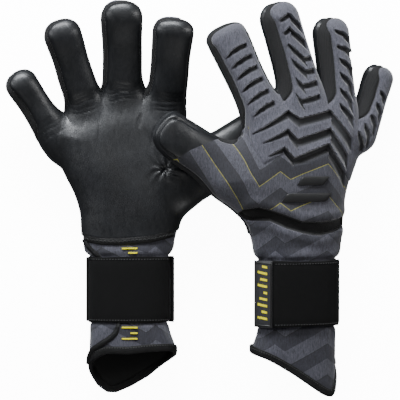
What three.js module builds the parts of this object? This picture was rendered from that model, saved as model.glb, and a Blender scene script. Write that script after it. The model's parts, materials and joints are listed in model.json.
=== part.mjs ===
// A pair of goalkeeper gloves laid out side by side: one lies palm up, the other palm down with its thumb
// resting over the first. Millimetres; +X to the right, +Y towards the fingertips, +Z up. The origin is the
// centre of the pair's footprint, on the surface that it lies on.
//
// Each glove is built in its own glove frame: origin at the centre of the wrist, +Y towards the fingertips,
// +Z out of the backhand, -Z out of the palm, thumb on the -X side.
import * as THREE from 'three';

// ---- Driving dimensions -------------------------------------------------------------------------------
const GAP = 0.4; // between two layers that touch
const SHELL = 2.8; // foam, latex or knit wall of the hand and the digits
const LINING = 0.8;
const CREASE = 1.5; // room between a digit and the hand, and between the hand and the cuff

const HAND_DEPTH = 19; // half thickness of the filled hand at the middle of the palm
const KNUCKLE_DEPTH = 15; // the same where the fingers start
const RIM_DEPTH = SHELL + GAP; // and along the side seam
const FINGER_DEPTH = 13; // half thickness of a finger
const THUMB_DEPTH = 12;

// The sides of the hand from the wrist to the knuckles, in the glove frame. The thumb stands on the last
// three points of its side.
const LITTLE_SIDE = [[39, 1], [40, 14], [42, 29], [45, 45], [50, 61], [57, 77], [65, 91]];
const THUMB_SIDE = [[-38, 1], [-42, 14], [-50.5, 28], [-63, 39], [-79, 48.5], [-66.8, 67.5], [-54.6, 86.5]];

// Fingers: knuckle centre, length from the knuckle to the tip, width at the knuckle and near the tip.
const FINGERS = {
  little: { at: [63, 106], length: 63, base: 25, tip: 26 },
  ring: { at: [38, 125], length: 85, base: 29, tip: 31 },
  middle: { at: [6, 134], length: 91, base: 31, tip: 34 },
  index: { at: [-30, 125], length: 86, base: 32, tip: 33 },
};
const THUMB = { at: [-66.8, 67.5], length: 74, base: 44, tip: 38 };
const SEAM = 5; // half width of the mesh strip along a digit's side
const STRIP = 1.5; // thickness of that strip
const TIP_END = 2; // half width left at the very end of a digit's panels
const LOWEST_ARCH = 0.8; // height left there

const CUFF_HALF_WIDTH = 34.5;
const CUFF_HALF_DEPTH = 16.5;
const CUFF_FABRIC = 2;
const CUFF_TOP = -CREASE;
const HEM_WIDTH = 6;
const HEM_THICKNESS = 1;
const SLIT_AT = 1.6 * Math.PI; // where the cuff's overlap opens, on the palm side
const SLIT = 0.12; // its width as an angle
const ROUND_OF_CUFF = 2.5; // exponent of the cuff's superellipse

const STRAP_TOP = -12;
const STRAP_WIDTH = 59;
const STRAP = 1.5; // thickness of the strap and of its flap
const PATCH = 0.6; // thickness of each hook or loop patch
const PATCH_INSET = 3;
const PATCH_ANGLES = [0.55 * Math.PI, 0.97 * Math.PI];
const FLAP_ANGLES = [0.12 * Math.PI, 0.985 * Math.PI];
const BADGE = 1.2;
const BADGE_PROUD = 1; // how far it stands out past each edge of the strap
const BADGE_ANGLES = [0.74 * Math.PI, 0.96 * Math.PI];

// Two raised bars on the backhand: centre and length.
const BARS = {
  long_bar: { at: [4, 45], length: 42 },
  short_bar: { at: [10, 60], length: 25.2 },
};
const BAR_WIDTH = 9;
const BAR_SLANT = 5; // how far one long edge is shifted against the other
const BAR_TOP = 22.4; // height of both bars over the middle of the hand

// The elastic insert crosses the backhand in a shallow S: its middle as a share of the hand's length, how
// far it swings from there, and its width.
const INSERT = { middle: 0.2, swing: 0.05, width: 0.1, thickness: 1 };
const PALM_HEM = 0.06; // the hem's width as a share of the palm's length

// How each glove lies: where its wrist is, which way its fingers point and how far they curl to the palm.
// Angles are in degrees; a finger's lean is counted from +Y towards the thumb.
const PALM_UP = {
  name: 'palmup',
  wrist: [-64, -39, BAR_TOP],
  roll: 180,
  pitch: 0,
  lean: { little: -33, ring: -17, middle: 0, index: 6, thumb: 57 },
  curl: { little: 14, ring: 20, middle: 23, index: 24 },
  thumbTilt: 9.2, // towards the backhand
};
const PALM_DOWN = {
  name: 'palmdown',
  wrist: [87, -41.5, 28.8],
  roll: 14,
  pitch: 4,
  lean: { little: -20, ring: 5, middle: 16, index: 25, thumb: 57 },
  curl: { little: 6, ring: 4, middle: 3, index: 3 },
  thumbTilt: 0,
};

// ---- Materials ----------------------------------------------------------------------------------------
const material = (color, roughness) => new THREE.MeshStandardMaterial({ color, roughness, metalness: 0 });
const LATEX = material(0x17181b, 0.38);
const KNIT = material(0x56555f, 0.85);
const MESH = material(0x161616, 0.9);
const ELASTIC = material(0x121212, 0.85);
const BINDING = material(0x191919, 0.8);
const LINER = material(0x0d0d0d, 0.95);
const BAR_RUBBER = material(0x3b3c3f, 0.6);
const HOOK_LOOP = material(0x1b1b1b, 0.95);
const BADGE_RUBBER = material(0x2b2b2e, 0.55);

// ---- Solids -------------------------------------------------------------------------------------------
const radians = THREE.MathUtils.degToRad;
const smooth = THREE.MathUtils.smoothstep;
const ramp = (from, to, t) => from + (to - from) * t;

// A closed slab between two surfaces, each a function that gives a point for every u of one list and every v
// of another.
function slab(outer, inner, us, vs) {
  const columns = us.length - 1;
  const rows = vs.length - 1;
  const points = [];
  const faces = [];
  for (const surface of [outer, inner]) {
    for (const v of vs) {
      for (const u of us) points.push(...surface(u, v).toArray());
    }
  }
  const at = (layer, i, j) => layer * us.length * vs.length + j * us.length + i;
  const quad = (a, b, c, d) => faces.push(a, b, c, a, c, d);
  for (let j = 0; j < rows; j++) {
    for (let i = 0; i < columns; i++) {
      quad(at(0, i, j), at(0, i + 1, j), at(0, i + 1, j + 1), at(0, i, j + 1));
      quad(at(1, i, j), at(1, i, j + 1), at(1, i + 1, j + 1), at(1, i + 1, j));
    }
    quad(at(0, 0, j), at(0, 0, j + 1), at(1, 0, j + 1), at(1, 0, j));
    quad(at(0, columns, j), at(1, columns, j), at(1, columns, j + 1), at(0, columns, j + 1));
  }
  for (let i = 0; i < columns; i++) {
    quad(at(0, i, 0), at(1, i, 0), at(1, i + 1, 0), at(0, i + 1, 0));
    quad(at(0, i, rows), at(0, i + 1, rows), at(1, i + 1, rows), at(1, i, rows));
  }
  const geometry = new THREE.BufferGeometry();
  geometry.setAttribute('position', new THREE.Float32BufferAttribute(points, 3));
  geometry.setIndex(facingOut(points, faces));
  geometry.computeVertexNormals();
  return geometry;
}

// Numbers spaced evenly over a range, ends included.
const evenly = (from, to, steps) => Array.from({ length: steps + 1 }, (_, k) => ramp(from, to, k / steps));

// The same faces, all turned round if they enclose a negative volume.
function facingOut(points, faces) {
  const corner = (k) => new THREE.Vector3().fromArray(points, 3 * faces[k]);
  let volume = 0;
  for (let k = 0; k < faces.length; k += 3) volume += corner(k).dot(corner(k + 1).cross(corner(k + 2)));
  return volume < 0 ? faces.reverse() : faces;
}

function mesh(name, geometry, material) {
  const made = new THREE.Mesh(geometry, material);
  made.name = name;
  return made;
}

// ---- Hand ---------------------------------------------------------------------------------------------
const HAND_ROWS = evenly(0, 1, LITTLE_SIDE.length);

// The two ends of the line where a finger meets the hand, little-finger side first.
function knuckleEnds(finger, lean) {
  const across = new THREE.Vector2(Math.cos(radians(lean)), Math.sin(radians(lean)));
  return [0.5, -0.5].map((end) => new THREE.Vector2(...finger.at).addScaledVector(across, end * finger.base));
}

// A point on a line through points that are spaced evenly in t, or at the given values of t.
function along(points, t, stops = evenly(0, 1, points.length - 1)) {
  const k = Math.min(points.length - 2, Math.max(0, stops.findLastIndex((stop) => stop <= t)));
  return points[k].clone().lerp(points[k + 1], (t - stops[k]) / (stops[k + 1] - stops[k]));
}

// The outline of the hand: its plan as a function of u, from the little-finger side to the thumb side, and
// v, from the wrist to the knuckles, and the values of u at the ends and the middle of each finger.
function handPlan(lean) {
  const knuckles = Object.entries(FINGERS).flatMap(([name, finger]) => knuckleEnds(finger, lean[name]));
  const steps = knuckles.slice(1).map((p, k) => p.distanceTo(knuckles[k]));
  const total = steps.reduce((sum, step) => sum + step);
  const stops = [0];
  for (const step of steps) stops.push(stops.at(-1) + step / total);
  stops[stops.length - 1] = 1;
  const sides = [LITTLE_SIDE, THUMB_SIDE].map((side) => side.map((p) => new THREE.Vector2(...p)));
  sides[0].push(knuckles[0]);
  sides[1].push(knuckles.at(-1));
  const [k0, k1] = [knuckles[0], knuckles.at(-1)];
  const plan = (u, v) => along(sides[0], v).multiplyScalar(1 - u)
    .addScaledVector(along(sides[1], v), u)
    .addScaledVector(along(knuckles, u, stops).sub(k0.clone().lerp(k1, u)), v);
  const columns = stops.slice(1).flatMap((stop, k) => (k % 2 ? [stop] : [ramp(stops[k], stop, 0.5), stop]));
  return { plan, columns: [0, ...columns] };
}

// Half thickness of the hand, out to the surface of the palm or the backhand.
function handDepth(u, v) {
  const level = 0.4; // share of the half width over which the hand is level
  const rim = Math.max(0, (Math.abs(2 * u - 1) - level) / (1 - level));
  const crown = ramp(HAND_DEPTH, KNUCKLE_DEPTH, smooth(v, 0.6, 1)) * Math.sqrt(1 - rim ** 2.2);
  const thumbFrom = 3 / LITTLE_SIDE.length;
  const thumb = THUMB_DEPTH * Math.sin(Math.PI * Math.max(0, (v - thumbFrom) / (1 - thumbFrom)));
  return Math.max(crown, thumb * smooth(u, 0.7, 1), RIM_DEPTH);
}

// A layer of the hand between two heights over its surface; side is +1 on the backhand and -1 on the palm.
// rise says where a row runs, if it isn't level.
function handLayer(plan, side, [from, to], us, vs, rise = (u, v) => v) {
  const face = (height) => (u, v) => {
    const row = rise(u, v);
    const p = plan(u, row);
    return new THREE.Vector3(p.x, p.y, side * Math.max(GAP, handDepth(u, row) + height));
  };
  return slab(face(to), face(from), us, vs);
}

// A raised bar: a flat strip with slanted ends, lying on the backhand.
function bar({ at, length }) {
  const outline = new THREE.Shape([
    new THREE.Vector2(-length / 2, -BAR_WIDTH / 2),
    new THREE.Vector2(length / 2 - BAR_SLANT, -BAR_WIDTH / 2),
    new THREE.Vector2(length / 2, BAR_WIDTH / 2),
    new THREE.Vector2(-length / 2 + BAR_SLANT, BAR_WIDTH / 2),
  ]);
  const bottom = HAND_DEPTH + GAP;
  return new THREE.ExtrudeGeometry(outline, { depth: BAR_TOP - bottom, bevelEnabled: false })
    .translate(...at, bottom);
}

function hand(name, lean) {
  const { plan, columns } = handPlan(lean);
  const part = (piece, side, heights, us, vs, material) => (
    mesh(`${name}_${piece}`, handLayer(plan, side, heights, us, vs), material));
  const wall = [-SHELL, 0];
  const palmRows = [PALM_HEM + 0.006, ...HAND_ROWS.slice(1)];
  const inside = -SHELL - GAP;
  const liningColumns = columns.filter((u) => u > 0.1 && u < 0.9);
  const liningRows = [PALM_HEM + 0.01, ...HAND_ROWS.slice(1, -1), 0.97];
  const group = new THREE.Group();
  group.add(
    part('palm_latex', -1, wall, columns, palmRows, LATEX),
    part('palm_hem', -1, wall, evenly(0, 1, 12), [0, PALM_HEM], BINDING),
    part('backhand', 1, wall, columns, HAND_ROWS, KNIT),
    part('palm_lining', -1, [inside - LINING, inside], liningColumns, liningRows, LINER),
    part('back_lining', 1, [inside - LINING, inside], liningColumns, liningRows, LINER),
  );

  const insertRow = (u, v) => INSERT.middle + INSERT.swing * Math.sin(5 * u - 2.6) + INSERT.width * (v - 0.5);
  const insertColumns = columns.filter((u) => u > 0.05 && u < 0.95);
  const insertHeights = [2 * GAP, 2 * GAP + INSERT.thickness];
  group.add(mesh(`${name}_wrist_elastic`,
    handLayer(plan, 1, insertHeights, insertColumns, [0, 1], insertRow), ELASTIC));
  for (const [piece, shape] of Object.entries(BARS)) {
    group.add(mesh(`${name}_${piece}`, bar(shape), BAR_RUBBER));
  }
  return group;
}

// ---- Digits -------------------------------------------------------------------------------------------
// Half width of a digit at a distance from its base, with a round end.
function halfWidth(digit, distance) {
  const end = digit.tip / 2;
  const straight = digit.length - end;
  const width = ramp(digit.base, digit.tip, Math.min(1, distance / straight)) / 2;
  if (distance <= straight) return width;
  const over = Math.min(1, (distance - straight) / end);
  return Math.max(TIP_END, width * Math.sqrt(1 - over * over));
}

// A digit's palm or back panel: an arched gutter with a closed, round end. shrink makes its inner face.
function panelSurface(digit, depth, side, shrink) {
  const arch = depth - SEAM;
  return (u, v) => {
    const distance = digit.length * (1 - (1 - v) ** 1.6); // rows crowd towards the tip
    const angle = (u - 0.5) * Math.PI;
    const half = halfWidth(digit, distance);
    const fill = half / halfWidth(digit, 0.6 * digit.length);
    const crown = Math.max(LOWEST_ARCH, arch * Math.min(1, fill ** 0.7) - shrink);
    return new THREE.Vector3(
      Math.max(TIP_END / 2, half - shrink) * Math.sin(angle),
      distance - shrink * v,
      side * (SEAM + crown * Math.cos(angle) ** 0.7),
    );
  };
}

// The mesh strip that joins the two panels: up one side, round the tip and down the other.
function sideStrip(digit) {
  const end = digit.tip / 2;
  const straight = digit.length - end;
  const outline = new THREE.Shape();
  outline.moveTo(digit.base / 2, 0);
  outline.lineTo(end, straight);
  outline.absarc(0, straight, end, 0, Math.PI, false);
  outline.lineTo(-digit.base / 2, 0);
  outline.lineTo(-digit.base / 2 + STRIP, 0);
  outline.lineTo(-end + STRIP, straight);
  outline.absarc(0, straight, end - STRIP, Math.PI, 0, true);
  outline.lineTo(digit.base / 2 - STRIP, 0);
  outline.closePath();
  const width = 2 * (SEAM - GAP);
  return new THREE.ExtrudeGeometry(outline, { depth: width, bevelEnabled: false, curveSegments: 7 })
    .translate(0, 0, -width / 2);
}

// One digit. Its group stands on its hinge, and its meshes hang from there.
function digit(name, shape, depth, fromHinge) {
  const panel = (side) => slab(
    panelSurface(shape, depth, side, 0),
    panelSurface(shape, depth, side, SHELL),
    evenly(0, 1, 6),
    evenly(0, 1, 6),
  );
  const group = new THREE.Group();
  group.add(
    mesh(`${name}_roll`, panel(-1), LATEX),
    mesh(`${name}_back`, panel(1), KNIT),
    mesh(`${name}_gusset`, sideStrip(shape), MESH),
  );
  for (const piece of group.children) piece.position.copy(fromHinge);
  return group;
}

// A finger bends to the palm about the crease where its palm side meets the hand.
function finger(glove, name) {
  const shape = FINGERS[name];
  const fromHinge = new THREE.Vector3(0, CREASE, KNUCKLE_DEPTH);
  const group = digit(`${glove.name}_${name}`, shape, FINGER_DEPTH, fromHinge);
  group.name = `${glove.name}_${name}_bend`;
  group.position.set(shape.at[0], shape.at[1], -KNUCKLE_DEPTH);
  group.rotation.set(-radians(glove.curl[name]), 0, radians(glove.lean[name]), 'ZXY');
  return group;
}

// The thumb closes towards the index finger about the bottom of the web between them.
function thumb(glove) {
  const half = THUMB.base / 2 + GAP;
  const [lean, tilt] = [radians(glove.lean.thumb), radians(glove.thumbTilt)];
  const room = CREASE + THUMB_DEPTH * Math.sin(tilt);
  const group = digit(`${glove.name}_thumb`, THUMB, THUMB_DEPTH, new THREE.Vector3(-half, room, 0));
  group.name = `${glove.name}_thumb_swing`;
  group.position.set(THUMB.at[0] + half * Math.cos(lean), THUMB.at[1] + half * Math.sin(lean), 0);
  group.rotation.set(tilt, 0, lean, 'ZXY');
  return group;
}

// ---- Cuff and strap -----------------------------------------------------------------------------------
// A point of the cuff's superellipse at an angle from the little-finger side over the backhand, grown by a
// distance.
function cuffPoint(angle, grow, y) {
  const [c, s] = [Math.cos(angle), Math.sin(angle)];
  const power = 2 / ROUND_OF_CUFF;
  return new THREE.Vector3(
    Math.sign(c) * Math.abs(c) ** power * (CUFF_HALF_WIDTH + grow),
    y,
    Math.sign(s) * Math.abs(s) ** power * (CUFF_HALF_DEPTH + grow),
  );
}

// The hem slants: longest at the back on the little-finger side, shortest at the thumb.
function hemHeight(angle) {
  const p = cuffPoint(angle, 0, 0);
  const across = p.x / CUFF_HALF_WIDTH;
  const back = p.z / CUFF_HALF_DEPTH;
  return -109 - 10 * back - 11.5 * (1 + back) * across;
}

// A slab bent round the cuff between two angles, two distances out and two heights.
function wrap([from, to], [low, high], bottom, top, columns, rows) {
  const level = (value, angle) => (typeof value === 'function' ? value(angle) : value);
  const face = (grow) => (u, v) => {
    const angle = ramp(from, to, u);
    return cuffPoint(angle, grow, ramp(level(bottom, angle), level(top, angle), v));
  };
  return slab(face(high), face(low), evenly(0, 1, columns), evenly(0, 1, rows));
}

const strapHeights = [STRAP_TOP - STRAP_WIDTH, STRAP_TOP];
const patchHeights = [strapHeights[0] + PATCH_INSET, strapHeights[1] - PATCH_INSET];

function cuff({ name }) {
  const round = [SLIT_AT + SLIT / 2, SLIT_AT + 2 * Math.PI - SLIT / 2];
  const bandEnds = [GAP / 10, 2 * Math.PI - GAP / 10];
  const bandOut = GAP + STRAP;
  const loopOut = bandOut + GAP + PATCH;
  const body = new THREE.Group();
  body.add(
    mesh(`${name}_cuff_sleeve`,
      wrap(round, [-CUFF_FABRIC, 0], (a) => hemHeight(a) + GAP, CUFF_TOP, 32, 2), KNIT),
    mesh(`${name}_cuff_hem`,
      wrap(round, [GAP, GAP + HEM_THICKNESS], hemHeight, (a) => hemHeight(a) + HEM_WIDTH, 32, 1), BINDING),
    mesh(`${name}_strap_band`, wrap(bandEnds, [GAP, bandOut], ...strapHeights, 32, 1), ELASTIC),
    mesh(`${name}_loop_patch`,
      wrap(PATCH_ANGLES, [bandOut + GAP, loopOut], ...patchHeights, 8, 1), HOOK_LOOP),
    flap(name, loopOut + GAP),
  );

  // The cuff bends to the palm about the crease on the palm side of the wrist.
  const group = new THREE.Group();
  group.name = `${name}_wrist_bend`;
  group.position.set(0, 0, -HAND_DEPTH - GAP);
  body.position.copy(group.position).negate();
  group.add(body);
  return group;
}

// The strap's free end over the backhand. It peels open about the little-finger side of the wrist.
function flap(name, hookIn) {
  const hookOut = hookIn + PATCH;
  const flapIn = hookOut + GAP;
  const flapOut = flapIn + STRAP;
  const badge = [flapOut + GAP, flapOut + GAP + BADGE];
  const badgeHeights = [strapHeights[0] - BADGE_PROUD, strapHeights[1] + BADGE_PROUD];
  const group = new THREE.Group();
  group.name = `${name}_strap_peel`;
  group.add(
    mesh(`${name}_strap_flap`, wrap(FLAP_ANGLES, [flapIn, flapOut], ...strapHeights, 20, 1), ELASTIC),
    mesh(`${name}_hook_patch`, wrap(PATCH_ANGLES, [hookIn, hookOut], ...patchHeights, 8, 1), HOOK_LOOP),
    mesh(`${name}_strap_badge`, wrap(BADGE_ANGLES, badge, ...badgeHeights, 6, 1), BADGE_RUBBER),
  );
  const hinge = cuffPoint(FLAP_ANGLES[0], flapOut + GAP, 0);
  for (const piece of group.children) piece.position.copy(hinge).negate();
  group.position.copy(hinge);
  return group;
}

// ---- The pair -----------------------------------------------------------------------------------------
function glove(pose) {
  const group = new THREE.Group();
  group.add(hand(pose.name, pose.lean));
  for (const name of Object.keys(FINGERS)) group.add(finger(pose, name));
  group.add(thumb(pose), cuff(pose));
  group.position.set(...pose.wrist);
  group.rotation.set(radians(pose.pitch), radians(pose.roll), 0, 'XYZ');
  group.name = `${pose.name}_glove`;
  return group;
}

const pair = new THREE.Group();
pair.add(glove(PALM_UP), glove(PALM_DOWN));
const bounds = new THREE.Box3().setFromObject(pair, true);
const centre = bounds.getCenter(new THREE.Vector3());
pair.position.set(-centre.x, -centre.y, -bounds.min.z);

const gloves = new THREE.Group();
gloves.add(pair);
export default gloves;
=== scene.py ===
"""Goalkeeper gloves: the shown pieces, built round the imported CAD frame.

Everything about one glove is worked out in that glove's own frame, in millimetres at rest: the origin is the
middle of the wrist, +X points to the little finger, +Y to the fingertips and +Z out of the back of the hand.
The skin of a glove is one smooth surface. It is cut along the seams into separate closed panels.
"""

import json
import math

import bpy
import numpy as np
import openvdb
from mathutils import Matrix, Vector


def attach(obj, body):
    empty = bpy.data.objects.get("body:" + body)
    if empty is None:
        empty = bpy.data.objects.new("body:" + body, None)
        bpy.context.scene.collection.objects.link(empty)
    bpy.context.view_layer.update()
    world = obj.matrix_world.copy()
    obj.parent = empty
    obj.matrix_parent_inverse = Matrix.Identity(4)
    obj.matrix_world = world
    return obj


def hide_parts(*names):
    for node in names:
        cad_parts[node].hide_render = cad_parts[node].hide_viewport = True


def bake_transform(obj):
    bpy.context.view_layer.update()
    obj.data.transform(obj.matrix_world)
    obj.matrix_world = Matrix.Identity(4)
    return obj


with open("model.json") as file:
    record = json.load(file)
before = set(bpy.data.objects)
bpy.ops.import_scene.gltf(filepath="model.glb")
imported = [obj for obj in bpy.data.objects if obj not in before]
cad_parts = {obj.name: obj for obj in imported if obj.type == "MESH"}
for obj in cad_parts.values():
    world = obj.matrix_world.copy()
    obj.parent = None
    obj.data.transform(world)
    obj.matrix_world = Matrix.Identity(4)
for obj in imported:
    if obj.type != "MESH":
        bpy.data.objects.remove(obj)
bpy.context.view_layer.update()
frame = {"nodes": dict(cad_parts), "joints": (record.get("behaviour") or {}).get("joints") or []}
JOINTS = {joint["name"]: joint for joint in frame["joints"]}

GLOVES = ("palmup", "palmdown")
FINGERS = ("little", "ring", "middle", "index")
DIGITS = FINGERS + ("thumb",)

# ---------------------------------------------------------------- sizes, mm
GRID = 1.1  # spacing of the lattice that the skin is traced on
SNAP = 0.1  # a cut that passes this near a vertex goes through the vertex
WRIST_HINGE_DEPTH = 19.4  # from the middle of the wrist to its hinge
HAND_HALF = 19.0
WRIST_HALF = 17.0
KNUCKLE_HALF = 15.0
HAND_ROUND = 34.0  # how far in from its outline the hand reaches full thickness
FINGER_HALF = 13.0
THUMB_HALF = 12.5
DIGIT_SHAPE = {  # length, width at the base, width at the tip, squareness of the tip, shift across
    "palmup": {
        "little": (58.5, 28, 27, 2.2, 8.0),
        "ring": (77.5, 31, 32, 2.2, 2.0),
        "middle": (82.2, 34, 35.5, 2.4, 0.0),
        "index": (76.5, 33, 35, 2.6, -3.2),
        "thumb": (74.5, 40, 37, 2.4, 2.0),
    },
    "palmdown": {
        "little": (56.3, 26, 24, 2.2, -0.8),
        "ring": (78.8, 31, 30, 2.2, 1.2),
        "middle": (86.7, 38, 32, 2.3, -0.4),
        "index": (80.3, 34, 37, 3.0, -4.0),
        "thumb": (74.5, 40, 37, 2.4, 2.0),
    },
}
DIGIT_ROOT = {  # how far a digit runs down into the hand
    "palmup": {"little": 20.0, "ring": 20.0, "middle": 20.0, "index": 20.0, "thumb": 26.0},
    "palmdown": {"little": 8.0, "ring": 20.0, "middle": 20.0, "index": 20.0, "thumb": 26.0},
}
DIGIT_START = -12.0  # where a digit's panels begin, along the digit
GUSSET_HALF = 6.5  # half width of the mesh strip down the side of a finger
TWIST = {  # how far a digit's seams turn round it, degrees
    "palmup": {"little": 25, "ring": 12, "middle": 8, "index": 6, "thumb": 0},
    "palmdown": {"little": 46, "ring": 39, "middle": 25, "index": 4, "thumb": 0},
}
LITTLE_SIDE = {  # the edge of the hand below the little finger
    "palmup": [(43.5, 29), (48.5, 45), (56.5, 61), (64.5, 77), (73, 91), (74, 103), (60, 113)],
    "palmdown": [(43.5, 29), (45.5, 45), (49.6, 61), (55.5, 77), (59.5, 90), (61, 103), (54, 113)],
}
OUTLINE_START = [(34.5, -70), (34.5, -24), (36.5, -13), (40, -6), (41.5, 2), (42.5, 14)]
OUTLINE_END = [  # from the knuckles round the web and the thumb to the wrist
    (42, 124), (22, 132), (4, 136), (-16, 134), (-32, 127), (-43, 118), (-47, 104), (-52, 90), (-59, 80),
    (-69, 70), (-75, 61), (-72, 53), (-59.5, 43), (-49.5, 31.5), (-44.6, 15), (-41.3, 2), (-40, -6),
    (-36.5, -13), (-34.5, -24), (-34.5, -70),
]
THUMB_BALL = (-36.0, 38.0)  # the middle of the ball of the thumb, which adds 1 mm to the palm
THUMB_BALL_REACH = 28.0
FINGER_JOIN = 1.5  # how widely two fingers, the fingers and the hand, and the thumb and the hand run together
KNUCKLE_JOIN = 9.0
THUMB_JOIN = 15.0

DIGIT_POWER = 2.35  # squareness of a digit's section
DIGIT_TAPER = 0.06  # how much thinner a digit is at its tip than at its base
WAIST_AT = 0.45  # a finger is a little narrower and thinner here, as a share of its length
WAIST_REACH = 0.28
WAIST_WIDTH = 0.05
WAIST_DEPTH = 0.09
FINGER_END = 0.95  # length of a fingertip's rounded end, as a share of half its width
INDEX_END = 0.78
THUMB_END = (28.0, 10.0)  # the length of the thumb's rounded end at its two edges
THUMB_GUSSET_HALF = 4.5
GUSSET_NARROWING = 0.6  # of a finger's mesh strip, at the fingertip

CUFF_HALF = (34.5, 16.5)  # across and through
CUFF_POWER = 2.5  # squareness of the cuff's section
CUFF_TOP_BACK = 2.0  # where the sleeve begins on the back of the hand
FLARE = 1.2  # how far the end of the cuff stands off the wrist
THUMB_FLARE = 6.5  # and how much more on the thumb side
STRAP = (-71.0, -12.0)
STRAP_LAYERS = {  # inner and outer distance from the cuff, and start and end round it in half turns
    "band": (0.35, 1.9, 0.0, 2.0),
    "loop": (2.05, 2.6, 0.55, 0.97),
    "hook": (2.8, 3.4, 0.55, 0.97),
    "fold": (1.6, 4.9, 0.045, 0.145),
    "flap": (3.5, 5.0, 0.12, 0.985),
    "plate": (5.1, 6.2, 0.74, 0.965),
}
FOLD_TURN = (0.07, 0.122)  # where the fold would start to turn with the free end, and where it would have fully turned; it does not turn
FOLD_THINNING = (0.075, 0.12)  # where the fold runs together with the free end
HEM_FRONT = [(-44, -91), (-25, -95.5), (0, -98.5), (20, -98), (36, -103)]
HEM_BACK = {
    "palmup": [(-44, -94), (-31, -108), (-16.5, -120.5), (-1, -129.5), (12, -135), (20, -135), (28, -130),
               (36, -119)],
    "palmdown": [(-42, -91), (-32, -98), (-6.5, -114), (21, -133), (29, -138), (33, -138), (36, -130)],
}
HEM_WIDTH = 6.0
SLIT = [  # the edge of the cuff's overlap, which runs under the strap on the palm side
    (40, 3), (35, -4), (27, -12), (19, -28), (12, -48), (8.7, -66), (9.5, -76), (14, -83), (24, -90),
    (31.5, -96), (34.4, -102), (35.0, -108.5),
]
PALM_EDGE = [(-60, 16), (-45, 12.5), (-40, 11), (-20, 6), (10, 3.6), (25, 4), (34, 5.6), (45, 8)]
ELASTIC_TOP = [(-56, 31), (-52.7, 34.6), (-39.7, 36.9), (-29.6, 34.6), (-15.7, 29.7), (0, 23.7), (18, 23),
               (30.5, 24.3), (39.3, 26.1), (48, 28)]
ELASTIC_LOW = [(-56, 29), (-52.7, 26.4), (-45.6, 24.3), (-29.6, 24.3), (-14.8, 17.5), (-1.8, 13.5),
               (11, 10.8), (18, 10.5), (32.3, 13.5), (42, 17.5), (48, 19)]
GATHER = (-33.0, 66.0)  # the pleat on the palm beside the ball of the thumb
THUMB_CAP = [(-24, 50), (-15.3, 46), (-3, 40.2), (6.6, 33.5), (16.8, 25.4), (24, 17)]  # across, along
FOAM_EDGE = [  # the stitched edge of the moulded foam
    (-112, 160), (-60, 125), (-47, 108), (-46, 99.4), (-45.3, 93.2), (-36, 75.3), (-17, 85), (-8.5, 77.4),
    (22.6, 88.4), (41.7, 66.3), (48, 58), (60, 48), (110, 48),
]
BARS = {"long": ((4, 45), 42.0), "short": ((10, 60), 25.2)}  # middle and length of each rubber bar
BAR_WIDTH = 8.0
BAR_SLANT = 2.5
BAR_HEIGHT = 1.5

# Each moulded groove is a line along the digit-tip side of the groove, from the thumb side to the
# little-finger side, then its width at its start and at its widest. Finger lines are in the finger's own
# frame and hand lines in the glove's.
HAND_GROOVES = [
    ([(-44.5, 102.2), (-12, 122.9), (-1.5, 115.9), (27.5, 122.9), (47.3, 96.7)], 1.0, 6.0),
    ([(-36, 94.2), (-13.1, 106.3), (-4.3, 97.4), (26.8, 107), (43.8, 80.8)], 1.0, 6.0),
    ([(-31.9, 82.2), (-16.6, 90.5), (-7.8, 80.8), (24.8, 93.2), (41.7, 66.3)], 1.0, 6.0),
]
FINGER_GROOVES = {
    "index": [([(-12, y - 4.5), (-5, y - 0.6), (3, y + 0.8), (11.5, y + 0.4)], 1.0, 3.6)
              for y in (59.5, 48.5, 37.5, 26, 14, 2)],
    "middle": [
        ([(-6.4, 71.8), (5.3, 75.9), (14.1, 60.9)], 2.6, 3.4),
        ([(-6.2, 59.5), (2.3, 63.8), (14, 46)], 2.6, 3.6),
        ([(-6.6, 47.2), (-2.1, 50.3), (8, 34), (15, 33)], 3.0, 3.6),
        ([(-5.6, 39.7), (5.5, 23), (15, 22)], 3.0, 4.0),
        ([(-7.1, 23.1), (-0.4, 11.3), (14, 10.9)], 3.0, 4.2),
        ([(-9.1, 6.7), (-5.7, -1.5), (12.4, -1.3)], 3.0, 4.2),
    ],
    "ring": [
        ([(-0.7, 68.3), (7, 65.5), (13.3, 59.3)], 2.4, 3.6),
        ([(-0.3, 54.4), (8, 52), (15.7, 46)], 2.4, 4.0),
        ([(0.9, 43.1), (8, 38.5), (14.3, 29.9)], 2.6, 4.4),
        ([(0.2, 30.2), (7, 24.5), (12.1, 14.4)], 2.8, 4.6),
        ([(-1.5, 16.5), (5, 10), (9.6, 1.1)], 2.8, 4.6),
        ([(-3.6, 2.8), (3, -4), (8.8, -12.9)], 2.8, 4.6),
    ],
    "little": [
        ([(-0.7, 34.6), (5, 32.5), (9.2, 28)], 2.4, 3.8),
        ([(-0.4, 23.7), (5.5, 20), (9.8, 13.7)], 2.6, 4.4),
        ([(-1.9, 12.2), (4.5, 7.5), (8.9, 0.6)], 2.8, 4.8),
        ([(-4.3, 1.1), (2, -4), (6.4, -10.5)], 2.8, 4.8),
        ([(-7.8, -7.4), (-1.5, -12.5), (3.9, -19.4)], 2.8, 4.8),
    ],
}
GROOVE_DEPTH = 2.3
GROOVE_WALL = 0.8  # across the steep side of a groove
GROOVE_SCALE = 1.3  # every groove width above is multiplied by this
GROOVE_TAPER = 2.2  # a groove is at its widest from 1 / 2.2 of its length
GROOVE_FULL = 3.2  # a groove narrower than this is also shallower
LIP_HEIGHT = 1.4  # of the raised edge above a groove
LIP_REACH = 3.4

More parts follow.
